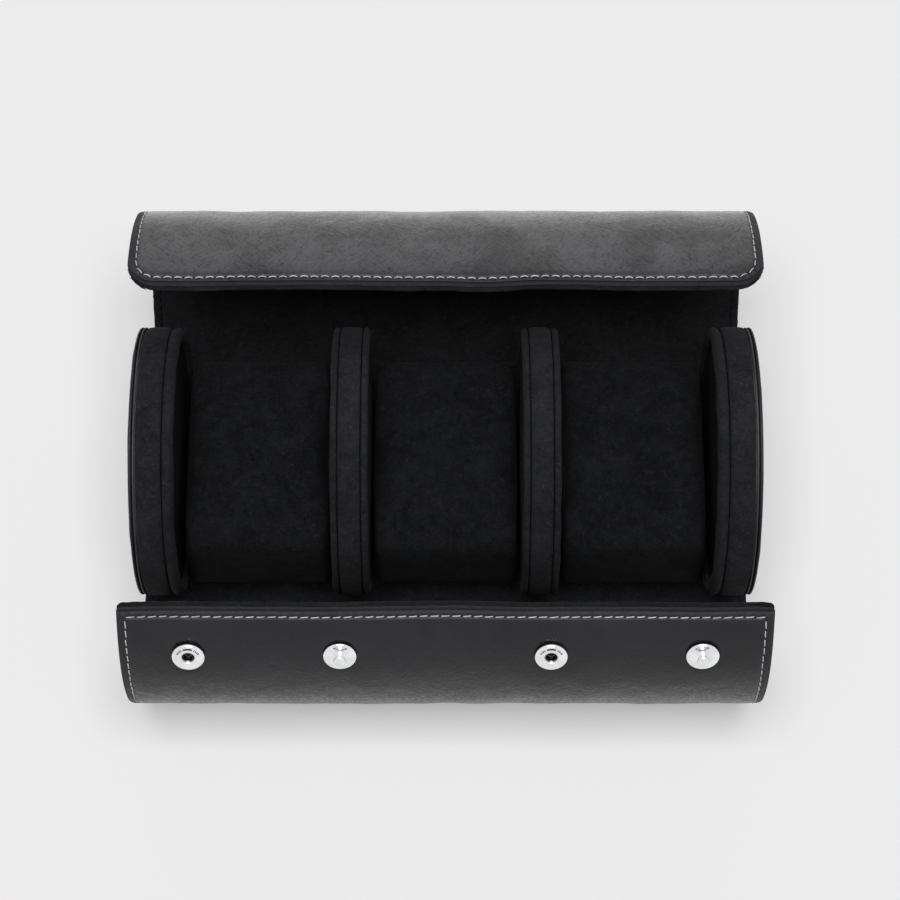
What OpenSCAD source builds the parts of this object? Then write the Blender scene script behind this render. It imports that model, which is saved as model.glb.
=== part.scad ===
// Cylindrical travel case for three wristwatches, shown open on a table.
// Four padded discs stand on a stiff spine.  A front panel and a back panel are hinged to
// the spine along its two long edges, and the back panel ends in a flap that folds over the
// front panel and closes with four press studs.  Each bay between two discs holds a cushion.
// The discs share one axis, parallel to X.  The origin is the middle of the resting face.
// Angles in the cross-section are counted from +Y towards +Z, about the discs' axis.

/* [Case] */
// Length of the leather shell
case_length = 220; // [210:1:235]
// Radius of the four padded discs
disc_radius = 47.4; // [46:0.2:50]
// How far the shell reaches past the end caps, at each end
shell_overhang = 2; // [1:0.25:4]
// Thickness of an inner divider
divider_thickness = 13; // [12:0.5:13.5]
// Thickness of an end cap over its rim
end_thickness = 15.5; // [14:0.5:16]

/* [Shell layers] */
// Thickness of the outer leather
leather_thickness = 1.4; // [1.2:0.1:1.6]
// Thickness of the stiffening board
board_thickness = 1.2; // [1:0.1:1.4]
// Thickness of the suede lining
lining_thickness = 1; // [0.8:0.1:1.2]
// Thickness of the pad that lies under the discs
pad_thickness = 1.2; // [1:0.1:1.5]
// Width of the sewn border around the boards
border_width = 7; // [5:0.5:9]
// Depth of the flat pressed into the spine's underside
base_flat_depth = 0.5; // [0.3:0.05:0.8]

/* [Panels] */
// Angle from the lowest line of the case to each hinge line
hinge_angle = 21; // [18:0.5:24]
// Angle of the front panel's lip when the case is closed
lip_angle = 92; // [88:0.5:96]
// Angle of the flap's edge when the case is closed
flap_edge_angle = 126.5; // [122:0.5:130]
// Angle of the line where the flap folds off the back panel, when the case is closed
flap_fold_angle = 72; // [66:1:78]
// How much larger the back panel's radius is, so that the flap clears the front panel
flap_growth = 3; // [2.9:0.05:3.1]
// Radius of the flap's two corners
flap_corner_radius = 11; // [8:0.5:14]
// Gap left at each hinge line
hinge_gap = 0.3; // [0.2:0.05:0.5]

/* [Cushions] */
// Clearance between a cushion and the disc on each side of it
cushion_clearance = 0.4; // [0.3:0.05:1]
// Half the front-to-back size of a cushion
cushion_half_depth = 39; // [36:0.5:39]
// Height of a cushion's top above the discs' axis
cushion_top = 8; // [4:0.5:12]
// Radius of a cushion's top edges
cushion_corner_radius = 20; // [14:1:22]
// Thickness of a cushion's suede cover
cover_thickness = 1; // [0.8:0.1:1.4]

/* [Press studs] */
// Distance from the flap's edge to the row of press studs, along the leather
stud_edge_inset = 12.5; // [11:0.25:15]
// Distance from the middle of the case to each inner press stud
inner_stud_x = 35.5; // [32:0.5:40]
// Distance from the shell's end to each outer press stud
stud_end_inset = 23.6; // [18:0.4:30]
// Diameter of a socket's ring and of a stud's flange
snap_diameter = 11.3; // [10:0.1:12]
// Radius of a stud's ball
ball_radius = 2.1; // [2:0.05:2.2]

/* [Hidden] */
$fn = 96;

// Layers of the shell, as radii about the discs' axis
lining_radius = disc_radius + pad_thickness;
board_radius = lining_radius + lining_thickness;
leather_radius = board_radius + board_thickness;
shell_radius = leather_radius + leather_thickness;
axis_height = shell_radius - base_flat_depth;
board_length = case_length - 2 * border_width;
// Height of the cutters that go right through a panel
through = 2 * (shell_radius - lining_radius);

// Hinge lines lie on the outer surface of the shell
front_hinge = 270 - hinge_angle;
back_hinge = hinge_angle - 90;
growth_angle = back_hinge + 180;
growth_y = flap_growth * cos(growth_angle);
growth_z = flap_growth * sin(growth_angle);
gap_angle = hinge_gap / shell_radius * 180 / PI;
hinge_lift = shell_radius * (1 - cos(hinge_angle)) - base_flat_depth;

// Each panel opens until its arc lies on the table
function opening(radius) = hinge_angle + acos(1 - hinge_lift / radius);
front_opening = opening(shell_radius);
back_opening = opening(shell_radius + flap_growth);

// Discs and bays, from the middle of the case outwards
bay_width = (case_length - 2 * (shell_overhang + divider_thickness + end_thickness)) / 3;
cushion_width = bay_width - 2 * cushion_clearance;
divider_middle = bay_width / 2 + divider_thickness / 2;
end_inner = bay_width * 1.5 + divider_thickness;
end_outer = end_inner + end_thickness;
side_bay_middle = bay_width + divider_thickness;

// Padded discs
suede_thickness = 1;
divider_face_thickness = 1.2;
end_dish_depth = 2.4;
end_roll_width = 4.1;
end_roll_depth = 5;
divider_roll_width = 2.5;
divider_roll_depth = 3;
end_roll_corner = 1.6;
divider_roll_corner = 1;
end_trim_thickness = 1;
end_trim_width = 3.4;
part_gap = 0.1;
corner_ease = 0.06;

// Press studs, measured outwards from the face that they stand on
socket_height = 1.4;
flange_height = 0.7;
snap_buried = 1.9;
barrel_radius = 3.4;
post_radius = 2.2;
washer_radius = 4.8;
washer_thickness = 0.5;
neck_radius = 1.5;
ball_height = 2.7;
ball_edge = 0.65;
mouth_radius = 2.25;
mouth_lip = 0.35;
socket_cavity_radius = 2.6;
socket_cavity_depth = 2.7;
spring_radius = 2.3;
spring_wire = 0.25;
ring_groove_inner = 3.1;
ring_groove_outer = 4.9;
ring_groove_depth = 0.15;
board_hole_radius = 5.4;
hole_clearance = 0.05;
outer_stud_x = case_length / 2 - stud_end_inset;
stud_row_angle = flap_edge_angle - stud_edge_inset / (shell_radius + flap_growth) * 180 / PI;
front_sockets = [-outer_stud_x, inner_stud_x];
front_studs = [-inner_stud_x, outer_stud_x];

// ---- Placing ----

// Turns a shape drawn in XY, or turned about Z, so that its Z axis lies along the case
module along_case() {
    rotate([90, 0, 90]) children();
}

// Lifts the cross-section so that the spine's flat lies on the table
module on_axis() {
    translate([0, 0, axis_height]) children();
}

// Swings its children about the line on the shell at the given angle
module swing(hinge, angle) {
    y = shell_radius * cos(hinge);
    z = axis_height + shell_radius * sin(hinge);
    translate([0, y, z]) rotate([angle, 0, 0]) translate([0, -y, -z]) children();
}

// Front panel's parts are drawn closed, then swung open
module front_open() {
    swing(front_hinge, front_opening) on_axis() children();
}

// Back panel's parts are drawn closed about their own centre, then swung open
module back_open() {
    swing(back_hinge, -back_opening) on_axis() translate([0, growth_y, growth_z]) children();
}

// Part of a tube about the case's axis, between two angles
module arc_sheet(radius, thickness, from, to, length) {
    along_case() rotate([0, 0, from]) rotate_extrude(angle = to - from)
        translate([radius, -length / 2]) square([thickness, length]);
}

// Corner of a sheet outside its rounding, drawn as a prism that points along the radius.
// The rounding meets the sheet's edges at a slight angle.
module corner_waste(radius, at, side, rounding) {
    rotate([at - 90, 0, 0]) translate([side * case_length / 2, 0, radius])
        mirror([side < 0 ? 0 : 1, 0, 0]) linear_extrude(2 * through, center = true)
            difference() {
                translate([-1, -1]) square([rounding + 1, rounding + 1]);
                translate([rounding, rounding]) circle(rounding + corner_ease);
            }
}

// Arc angle that covers a distance along a surface
function sweep(distance, radius) = distance / radius * 180 / PI;

// ---- Press studs ----

// Puts its children on the front panel's outer face, pointing outwards, one at each place
module on_front(places) {
    for (x = places)
        rotate([stud_row_angle - 90, 0, 0]) translate([x, 0, shell_radius]) children();
}

// Radius of the flap's inner face where the press studs are, about the discs' axis
flap_face_radius = lining_radius + flap_growth + flap_growth * cos(stud_row_angle - growth_angle);

// Puts its children on the flap's inner face, pointing inwards, one at each place
module on_flap(places) {
    translate([0, -growth_y, -growth_z])
        for (x = places)
            rotate([stud_row_angle - 90, 0, 0]) translate([x, 0, flap_face_radius])
                rotate([180, 0, 0]) children();
}

// Socket: a ring with a barrel that reaches through the panel
module socket() {
    difference() {
        union() {
            rotate_extrude() difference() {
                square([snap_diameter / 2, socket_height]);
                translate([snap_diameter / 2 - 0.5, socket_height]) rotate(-45) square([1.2, 0.6]);
                translate([ring_groove_inner, socket_height - ring_groove_depth])
                    square([ring_groove_outer - ring_groove_inner, 1]);
            }
            translate([0, 0, -snap_buried]) cylinder(r = barrel_radius, h = snap_buried);
        }
        translate([0, 0, socket_height - mouth_lip - 0.01]) cylinder(r = mouth_radius, h = 1);
        translate([0, 0, socket_height - socket_cavity_depth])
            cylinder(r = socket_cavity_radius, h = socket_cavity_depth - mouth_lip);
    }
}

// Stud: a flange with a ball on a neck, and a post that reaches through the panel
module stud() {
    rotate_extrude() difference() {
        square([snap_diameter / 2, flange_height]);
        translate([snap_diameter / 2 - 0.35, flange_height]) rotate(-45) square([1.2, 0.6]);
        translate([ring_groove_inner, flange_height - ring_groove_depth])
            square([ring_groove_outer - ring_groove_inner, 1]);
    }
    translate([0, 0, flange_height]) rotate_extrude() {
        square([neck_radius, ball_height - 0.1]);
        translate([ball_radius - ball_edge, ball_height - ball_edge]) intersection() {
            circle(ball_edge);
            translate([-ball_radius + ball_edge, -2]) square([4, 4]);
        }
    }
    translate([0, 0, -snap_buried]) cylinder(r = post_radius, h = snap_buried);
}

// Ring of wire that grips the ball inside a socket
module snap_spring() {
    translate([0, 0, socket_height - mouth_lip - spring_wire]) rotate_extrude()
        translate([spring_radius, 0]) circle(spring_wire, $fn = 24);
}

// Washer behind the panel, riveted round a barrel or a post
module washer(hole, depth) {
    translate([0, 0, -depth - washer_thickness]) difference() {
        cylinder(r = washer_radius, h = washer_thickness);
        translate([0, 0, -1]) cylinder(r = hole, h = washer_thickness + 2);
    }
}

// Hole through a panel for a barrel or a post
module snap_hole(radius) {
    cylinder(r = radius + hole_clearance, h = through, center = true);
}

// Hole in a board, wide enough for the washers
module board_holes() {
    for (x = concat(front_sockets, front_studs))
        translate([x, 0, 0]) cylinder(r = board_hole_radius, h = through, center = true);
}

// Flat that a flange or a washer presses into the hollow side of a sheet
module pressed_seat(radius) {
    translate([0, 0, -part_gap]) cylinder(r = radius + part_gap, h = lining_thickness);
}

// ---- Spine ----

module spine_leather() {
    color([0.13, 0.13, 0.14]) on_axis() difference() {
        arc_sheet(leather_radius, leather_thickness, front_hinge, back_hinge + 360, case_length);
        translate([0, 0, -axis_height - shell_radius / 2])
            cube([case_length + 2, shell_radius, shell_radius], center = true);
    }
}

module spine_board() {
    color([0.45, 0.4, 0.33]) on_axis()
        arc_sheet(board_radius, board_thickness, front_hinge, back_hinge + 360, board_length);
}

module spine_edge_strips() {
    color([0.2, 0.2, 0.2]) on_axis() difference() {
        arc_sheet(board_radius, board_thickness, front_hinge, back_hinge + 360, case_length);
        cube([board_length + 2 * part_gap, 4 * shell_radius, 4 * shell_radius], center = true);
    }
}

module spine_lining() {
    color([0.06, 0.06, 0.065]) on_axis()
        arc_sheet(lining_radius, lining_thickness, front_hinge, back_hinge + 360, case_length);
}

module floor_pad() {
    color([0.06, 0.06, 0.065]) on_axis()
        arc_sheet(disc_radius, pad_thickness, front_hinge + 1, back_hinge + 359, 2 * end_outer);
}

// ---- End caps ----

// Draws an end cap's part on the right, or its mirror image on the left
module at_end(side) {
    on_axis() mirror([side < 0 ? 1 : 0, 0, 0]) rotate([0, 90, 0]) children();
}

module end_leather(side) {
    color([0.13, 0.13, 0.14]) at_end(side) translate([0, 0, end_outer - leather_thickness])
        cylinder(r = disc_radius, h = leather_thickness);
}

module end_trim(side) {
    color([0.3, 0.3, 0.31]) at_end(side)
        translate([0, 0, end_outer - leather_thickness - end_trim_thickness]) difference() {
            cylinder(r = disc_radius, h = end_trim_thickness);
            translate([0, 0, -1]) cylinder(r = disc_radius - end_trim_width, h = end_trim_thickness + 2);
        }
}

module end_board(side) {
    color([0.45, 0.4, 0.33]) at_end(side)
        translate([0, 0, end_outer - leather_thickness - end_trim_thickness])
            cylinder(r = disc_radius - end_trim_width - part_gap, h = end_trim_thickness);
}

// Widths from the middle of the case to the seam and to the leather of an end cap
end_seam = end_inner + end_roll_width;
end_band_outer = end_outer - leather_thickness - end_trim_thickness;

module end_foam(side) {
    color([0.75, 0.74, 0.7]) at_end(side) translate([0, 0, end_seam])
        cylinder(r = disc_radius - suede_thickness, h = end_band_outer - end_seam);
}

module end_band(side) {
    color([0.07, 0.07, 0.075]) at_end(side) translate([0, 0, end_seam]) difference() {
        cylinder(r = disc_radius, h = end_band_outer - end_seam);
        translate([0, 0, -1])
            cylinder(r = disc_radius - suede_thickness, h = end_band_outer - end_seam + 2);
    }
}

// Suede face with a padded roll round its rim, as a profile from the axis outwards
module face_profile(roll_depth, roll_width, corner, dish, thickness) {
    inner = disc_radius - roll_depth;
    translate([0, dish]) square([inner + roll_depth / 2, thickness]);
    translate([inner, corner]) square([roll_depth, roll_width - corner]);
    translate([inner + corner, 0]) square([roll_depth - 2 * corner, roll_width]);
    for (r = [inner + corner, disc_radius - corner])
        translate([r, corner]) circle(corner);
}

module end_face(side) {
    color([0.07, 0.07, 0.075]) at_end(side) translate([0, 0, end_inner]) rotate_extrude()
        face_profile(end_roll_depth, end_roll_width, end_roll_corner, end_dish_depth,
            end_roll_width - end_dish_depth);
}

module left_end_leather() { end_leather(-1); }
module left_end_trim() { end_trim(-1); }
module left_end_board() { end_board(-1); }
module left_end_foam() { end_foam(-1); }
module left_end_band() { end_band(-1); }
module left_end_face() { end_face(-1); }
module right_end_leather() { end_leather(1); }
module right_end_trim() { end_trim(1); }
module right_end_board() { end_board(1); }
module right_end_foam() { end_foam(1); }
module right_end_band() { end_band(1); }
module right_end_face() { end_face(1); }

// ---- Dividers ----

divider_seam = divider_thickness / 2 - divider_roll_width;

// Draws a divider's part about the middle of the divider on the given side
module at_divider(side) {
    on_axis() translate([side * divider_middle, 0, 0]) rotate([0, 90, 0]) children();
}

module divider_band(side) {
    color([0.07, 0.07, 0.075]) at_divider(side) difference() {
        cylinder(r = disc_radius, h = 2 * divider_seam, center = true);
        cylinder(r = disc_radius - suede_thickness, h = 2 * divider_seam + 2, center = true);
    }
}

module divider_faces(side) {
    color([0.07, 0.07, 0.075]) at_divider(side)
        for (flip = [0, 1])
            mirror([0, 0, flip]) translate([0, 0, divider_thickness / 2]) mirror([0, 0, 1])
                rotate_extrude()
                    face_profile(divider_roll_depth, divider_roll_width, divider_roll_corner, 0,
                        divider_face_thickness);
}

module divider_boards(side) {
    color([0.45, 0.4, 0.33]) at_divider(side)
        for (flip = [0, 1])
            mirror([0, 0, flip]) translate([0, 0, divider_seam])
                cylinder(r = disc_radius - divider_roll_depth - part_gap,
                    h = divider_roll_width - divider_face_thickness);
}

module divider_foam(side) {
    color([0.75, 0.74, 0.7]) at_divider(side)
        cylinder(r = disc_radius - suede_thickness, h = 2 * divider_seam, center = true);
}

module left_divider_band() { divider_band(-1); }
module left_divider_faces() { divider_faces(-1); }
module left_divider_boards() { divider_boards(-1); }
module left_divider_foam() { divider_foam(-1); }
module right_divider_band() { divider_band(1); }
module right_divider_faces() { divider_faces(1); }
module right_divider_boards() { divider_boards(1); }
module right_divider_foam() { divider_foam(1); }

// ---- Front panel ----

front_end = front_hinge - gap_angle;
front_border = lip_angle + sweep(border_width, board_radius);

module front_leather() {
    color([0.13, 0.13, 0.14]) front_open() difference() {
        arc_sheet(leather_radius, leather_thickness, lip_angle, front_end, case_length);
        on_front(front_sockets) snap_hole(barrel_radius);
        on_front(front_studs) snap_hole(post_radius);
        on_front(concat(front_sockets, front_studs)) translate([0, 0, -leather_thickness])
            mirror([0, 0, 1]) pressed_seat(washer_radius);
    }
}

module front_board() {
    color([0.45, 0.4, 0.33]) front_open() difference() {
        arc_sheet(board_radius, board_thickness, front_border, front_end, board_length);
        on_front([0]) board_holes();
    }
}

module front_edge_strip() {
    color([0.2, 0.2, 0.2]) front_open() difference() {
        arc_sheet(board_radius, board_thickness, lip_angle, front_end, case_length);
        arc_sheet(board_radius - 1, board_thickness + 2, front_border - sweep(part_gap, board_radius),
            front_end + 1, board_length + 2 * part_gap);
    }
}

module front_lining() {
    color([0.06, 0.06, 0.065]) front_open()
        arc_sheet(lining_radius, lining_thickness, lip_angle, front_end, case_length);
}

module front_snap_sockets() {
    color([0.85, 0.85, 0.86]) front_open() on_front(front_sockets) socket();
}

module front_snap_studs() {
    color([0.85, 0.85, 0.86]) front_open() on_front(front_studs) stud();
}

module front_snap_springs() {
    color([0.6, 0.6, 0.62]) front_open() on_front(front_sockets) snap_spring();
}

module front_snap_backs() {
    color([0.6, 0.6, 0.62]) front_open() {
        on_front(front_sockets) washer(barrel_radius + hole_clearance, leather_thickness);
        on_front(front_studs) washer(post_radius + hole_clearance, leather_thickness);
    }
}

// ---- Back panel ----

back_start = back_hinge + gap_angle;
back_end = flap_fold_angle - gap_angle / 2;
back_layer = flap_growth;

module back_sheet(radius, thickness, length) {
    arc_sheet(radius + back_layer, thickness, back_start, back_end, length);
}

module back_leather() {
    color([0.13, 0.13, 0.14]) back_open()
        back_sheet(leather_radius, leather_thickness, case_length);
}

module back_board() {
    color([0.45, 0.4, 0.33]) back_open()
        back_sheet(board_radius, board_thickness, board_length);
}

module back_edge_strips() {
    color([0.2, 0.2, 0.2]) back_open() difference() {
        back_sheet(board_radius, board_thickness, case_length);
        cube([board_length + 2 * part_gap, 4 * shell_radius, 4 * shell_radius], center = true);
    }
}

module back_lining() {
    color([0.06, 0.06, 0.065]) back_open()
        back_sheet(lining_radius, lining_thickness, case_length);
}

// ---- Closing flap ----

flap_start = flap_fold_angle + gap_angle / 2;
flap_border = flap_edge_angle - sweep(border_width, board_radius + back_layer);

// One layer of the flap, with its two rounded corners
module flap_sheet(radius, thickness) {
    difference() {
        arc_sheet(radius + back_layer, thickness, flap_start, flap_edge_angle, case_length);
        for (side = [-1, 1])
            corner_waste(shell_radius, flap_edge_angle, side, flap_corner_radius);
    }
}

module flap_leather() {
    color([0.13, 0.13, 0.14]) back_open() flap_sheet(leather_radius, leather_thickness);
}

module flap_board() {
    color([0.45, 0.4, 0.33]) back_open() difference() {
        arc_sheet(board_radius + back_layer, board_thickness, flap_start, flap_border, board_length);
        on_flap([0]) board_holes();
    }
}

module flap_edge_strip() {
    color([0.2, 0.2, 0.2]) back_open() difference() {
        flap_sheet(board_radius, board_thickness);
        arc_sheet(board_radius + back_layer - 1, board_thickness + 2, flap_start - 1,
            flap_border + sweep(part_gap, board_radius), board_length + 2 * part_gap);
    }
}

module flap_lining() {
    color([0.06, 0.06, 0.065]) back_open() difference() {
        flap_sheet(lining_radius, lining_thickness);
        on_flap(front_studs) snap_hole(barrel_radius);
        on_flap(front_sockets) snap_hole(post_radius);
        on_flap(concat(front_sockets, front_studs)) pressed_seat(snap_diameter / 2);
    }
}

module flap_snap_sockets() {
    color([0.85, 0.85, 0.86]) back_open() on_flap(front_studs) socket();
}

module flap_snap_studs() {
    color([0.85, 0.85, 0.86]) back_open() on_flap(front_sockets) stud();
}

module flap_snap_springs() {
    color([0.6, 0.6, 0.62]) back_open() on_flap(front_studs) snap_spring();
}

module flap_snap_backs() {
    color([0.6, 0.6, 0.62]) back_open() {
        on_flap(front_studs) washer(barrel_radius + hole_clearance, lining_thickness);
        on_flap(front_sockets) washer(post_radius + hole_clearance, lining_thickness);
    }
}

// ---- Cushions ----

cushion_radius = disc_radius - hinge_gap;

// Section of a cushion: its underside follows the trough and its top edges are rounded
module cushion_section(inset) {
    half = cushion_half_depth - inset;
    top = cushion_top - inset;
    rounding = cushion_corner_radius - inset;
    intersection() {
        circle(cushion_radius - inset);
        union() {
            translate([-half, -disc_radius]) square([2 * half, disc_radius + top - rounding]);
            translate([-half + rounding, -disc_radius])
                square([2 * (half - rounding), disc_radius + top]);
            for (y = [-half + rounding, half - rounding])
                translate([y, top - rounding]) circle(rounding);
        }
    }
}

module cushion_solid(middle, inset) {
    on_axis() translate([middle, 0, 0]) along_case()
        linear_extrude(cushion_width - 2 * inset, center = true) cushion_section(inset);
}

module cushion_cover(middle) {
    color([0.08, 0.08, 0.085]) difference() {
        cushion_solid(middle, 0);
        cushion_solid(middle, cover_thickness);
    }
}

module cushion_foam(middle) {
    color([0.75, 0.74, 0.7]) cushion_solid(middle, cover_thickness);
}

module left_cushion_cover() { cushion_cover(-side_bay_middle); }
module left_cushion_foam() { cushion_foam(-side_bay_middle); }
module middle_cushion_cover() { cushion_cover(0); }
module middle_cushion_foam() { cushion_foam(0); }
module right_cushion_cover() { cushion_cover(side_bay_middle); }
module right_cushion_foam() { cushion_foam(side_bay_middle); }

spine_leather();
spine_board();
spine_edge_strips();
spine_lining();
floor_pad();
left_end_leather();
left_end_trim();
left_end_board();
left_end_foam();
left_end_band();
left_end_face();
right_end_leather();
right_end_trim();
right_end_board();
right_end_foam();
right_end_band();
right_end_face();
left_divider_band();
left_divider_faces();
left_divider_boards();
left_divider_foam();
right_divider_band();
right_divider_faces();
right_divider_boards();
right_divider_foam();
front_leather();
front_board();
front_edge_strip();
front_lining();
front_snap_sockets();
front_snap_studs();
front_snap_springs();
front_snap_backs();
back_leather();
back_board();
back_edge_strips();
back_lining();
flap_leather();
flap_board();
flap_edge_strip();
flap_lining();
flap_snap_sockets();
flap_snap_studs();
flap_snap_springs();
flap_snap_backs();
left_cushion_cover();
left_cushion_foam();
middle_cushion_cover();
middle_cushion_foam();
right_cushion_cover();
right_cushion_foam();
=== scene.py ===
"""Travel case for three wristwatches, dressed for a studio picture.

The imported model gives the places.  Leather, suede, thread and press studs are modelled here
on top of it, in metres, with X along the case and Z up.
"""
import math

import bpy
import numpy as np
from mathutils import Matrix, Vector


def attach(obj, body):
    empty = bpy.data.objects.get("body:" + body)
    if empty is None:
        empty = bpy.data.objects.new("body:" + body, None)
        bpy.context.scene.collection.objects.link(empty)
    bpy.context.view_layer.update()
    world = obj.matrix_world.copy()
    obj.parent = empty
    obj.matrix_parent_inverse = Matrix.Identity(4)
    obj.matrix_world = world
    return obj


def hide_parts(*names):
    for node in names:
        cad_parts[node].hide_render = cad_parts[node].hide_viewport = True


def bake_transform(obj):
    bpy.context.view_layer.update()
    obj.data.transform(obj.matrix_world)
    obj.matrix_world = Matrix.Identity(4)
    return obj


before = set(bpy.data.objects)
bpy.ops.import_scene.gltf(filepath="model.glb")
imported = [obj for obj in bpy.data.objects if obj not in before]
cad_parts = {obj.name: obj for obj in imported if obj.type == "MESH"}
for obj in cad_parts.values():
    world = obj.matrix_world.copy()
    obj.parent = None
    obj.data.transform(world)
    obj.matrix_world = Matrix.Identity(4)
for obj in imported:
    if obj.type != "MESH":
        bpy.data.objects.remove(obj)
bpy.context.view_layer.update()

MM = 0.001

# ---- Sizes shared with the case's own drawing, in millimetres ----

CASE_LENGTH = 220.0
AXIS_HEIGHT = 51.7
SHELL_RADIUS = 52.2
GROWTH = 3.0
HINGE_ANGLE = 21.0
LIP_ANGLE = 92.0
FLAP_EDGE_ANGLE = 126.5
FOLD_ANGLE = 72.0
BACK_SPLIT_ANGLE = 40.0
FRONT_OPENING = 40.411
BACK_OPENING = 39.871
FLAP_CORNER = 11.0
LIP_CORNER = 2.0
LEATHER = 1.4
BOARD = 1.2
LINING = 1.0
DISC_RADIUS = 47.4
END_INNER = 92.5
END_OUTER = 108.0
DIVIDER_MIDDLE = 33.0
BAY_MIDDLE = 66.0
CUSHION_WIDTH = 52.2
SNAP_X = 35.5
OUTER_SNAP_X = 86.4
STUD_INSET = 12.5

# Distances along the leather from the middle of the spine, towards the lip
HINGE_AT = math.radians(HINGE_ANGLE) * SHELL_RADIUS
LIP_AT = math.radians(270 - LIP_ANGLE) * SHELL_RADIUS
BACK_RADIUS = SHELL_RADIUS + GROWTH


def behind_hinge(angle):
    """Where a line across the back lies, which is at this angle in the section of the closed case."""
    return -HINGE_AT - math.radians(angle - HINGE_ANGLE + 90) * BACK_RADIUS


FOLD_AT = behind_hinge(FOLD_ANGLE)
FLAP_AT = behind_hinge(FLAP_EDGE_ANGLE)
BACK_SPLIT_AT = behind_hinge(BACK_SPLIT_ANGLE)
BEND_HALF = 6.0
BEND_STEPS = 25
FLOOR_GAP = 0.02

# How far a hand-made case sways along its leather and out of it, and how far from an edge
FLAP_SWAY, FLAP_LIFT, FLAP_REACH = 0.45, 0.45, 16
LIP_SWAY, LIP_LIFT, LIP_REACH = 0.3, 0.3, 14
LIP_FLARE, SIDE_REACH = 0.9, 9

# How far each layer and the seam lie inside the outline: at the sides, the flap's edge and the lip
LEATHER_CUT = (0.5, 1.72, 2.15)
STRIP_CUT = (0.12, 0.45, 1.0)
LINING_CUT = (0.3, -0.55, -0.3)
SEAM = (3.1, 3.1, 4.15)
STITCH_PITCH = 3.6
STITCH_LENGTH = 3.05

noise_source = np.random.default_rng(11)


# ---- Working in Blender ----

def pick(piece):
    """Makes one piece the only selected one."""
    for other in bpy.context.selected_objects:
        other.select_set(False)
    piece.select_set(True)
    bpy.context.view_layer.objects.active = piece


def finish_modifiers(piece):
    """Applies what is still on a piece's stack, from the top down."""
    pick(piece)
    for modifier in list(piece.modifiers):
        bpy.ops.object.modifier_apply(modifier=modifier.name)


def thicken(piece, thickness):
    """Gives a flat sheet its wall, below its face."""
    wall = piece.modifiers.new("wall", "SOLIDIFY")
    wall.thickness = thickness * MM
    wall.offset = -1
    finish_modifiers(piece)


def soften(piece, width):
    """Rounds the sharp edges of a piece a little."""
    soft = piece.modifiers.new("soft", "BEVEL")
    soft.width = width * MM
    soft.segments = 2
    finish_modifiers(piece)


def just_made(name):
    """The piece that the last operator added, under its own name."""
    piece = bpy.context.object
    piece.name = name
    piece.data.name = name
    return piece


def points_of(piece):
    co = np.empty(len(piece.data.vertices) * 3)
    piece.data.vertices.foreach_get("co", co)
    return co.reshape(-1, 3)


def set_points(piece, co):
    piece.data.vertices.foreach_set("co", np.asarray(co, float).ravel())
    piece.data.update()


def smooth(piece, angle):
    pick(piece)
    bpy.ops.object.shade_smooth_by_angle(angle=math.radians(angle))


def face_outwards(piece):
    """Merges doubles and turns every face outwards."""
    pick(piece)
    bpy.ops.object.mode_set(mode="EDIT")
    bpy.ops.mesh.select_all(action="SELECT")
    bpy.ops.mesh.remove_doubles(threshold=1e-6)
    bpy.ops.mesh.normals_make_consistent(inside=False)
    bpy.ops.object.mode_set(mode="OBJECT")


def edit_chosen(piece, kind, chosen):
    """Opens a piece in edit mode with only the chosen faces or edges selected."""
    pick(piece)
    bpy.ops.object.mode_set(mode="EDIT")
    bpy.ops.mesh.select_mode(type=kind)
    bpy.ops.mesh.select_all(action="DESELECT")
    bpy.ops.object.mode_set(mode="OBJECT")
    parts = piece.data.polygons if kind == "FACE" else piece.data.edges
    parts.foreach_set("select", chosen)
    bpy.ops.object.mode_set(mode="EDIT")


def settle(piece):
    """Leaves a finished piece at the origin, unturned and unscaled."""
    pick(piece)
    bpy.ops.object.transform_apply(location=True, rotation=True, scale=True)


# ---- Soft random fields, the same on every run ----

WAVE_SPREAD = (0.7, 1.8)
WAVE_LEVEL = 1.2


def waves(seed, wavelength, count=14):
    """A smooth field of two coordinates in millimetres, about -1 to 1."""
    rng = np.random.default_rng(seed)
    direction = rng.uniform(0, 2 * np.pi, count)
    number = 2 * np.pi / (wavelength * rng.uniform(*WAVE_SPREAD, count))
    phase = rng.uniform(0, 2 * np.pi, count)

    def field(a, b):
        total = 0
        for d, k, p in zip(direction, number, phase):
            total = total + np.sin(k * (a * np.cos(d) + b * np.sin(d)) + p)
        return total / math.sqrt(count) / WAVE_LEVEL

    return field


def bell(away, reach):
    """1 on a line, falling off softly within its reach."""
    return np.exp(-((away / reach) ** 2))


def share_of(value):
    """A value held between 0 and 1."""
    return np.clip(value, 0, 1)


slow_wave = waves(3, wavelength=46)
mid_wave = waves(4, wavelength=17)
short_wave = waves(5, wavelength=7)


# ---- Rolling flat leather round the case ----

def hinge_point(side):
    """Hinge line on the outer surface: side -1 is the front panel's, 1 the back panel's."""
    angle = math.radians(HINGE_ANGLE)
    y = side * SHELL_RADIUS * math.sin(angle)
    return y, AXIS_HEIGHT - SHELL_RADIUS * math.cos(angle)


def closed_section(u, height):
    """Place in the section of the closed case, for a distance along the leather and a height."""
    theta = np.where(
        u >= -HINGE_AT,
        1.5 * np.pi - u / SHELL_RADIUS,
        1.5 * np.pi + HINGE_AT / SHELL_RADIUS - (u + HINGE_AT) / BACK_RADIUS,
    )
    grown = np.where(u >= -HINGE_AT, 0.0, GROWTH)
    growth_angle = math.radians(HINGE_ANGLE + 90)
    radius = SHELL_RADIUS + grown + height
    y = grown * math.cos(growth_angle) + radius * np.cos(theta)
    z = AXIS_HEIGHT + grown * math.sin(growth_angle) + radius * np.sin(theta)
    return y, z


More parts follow.
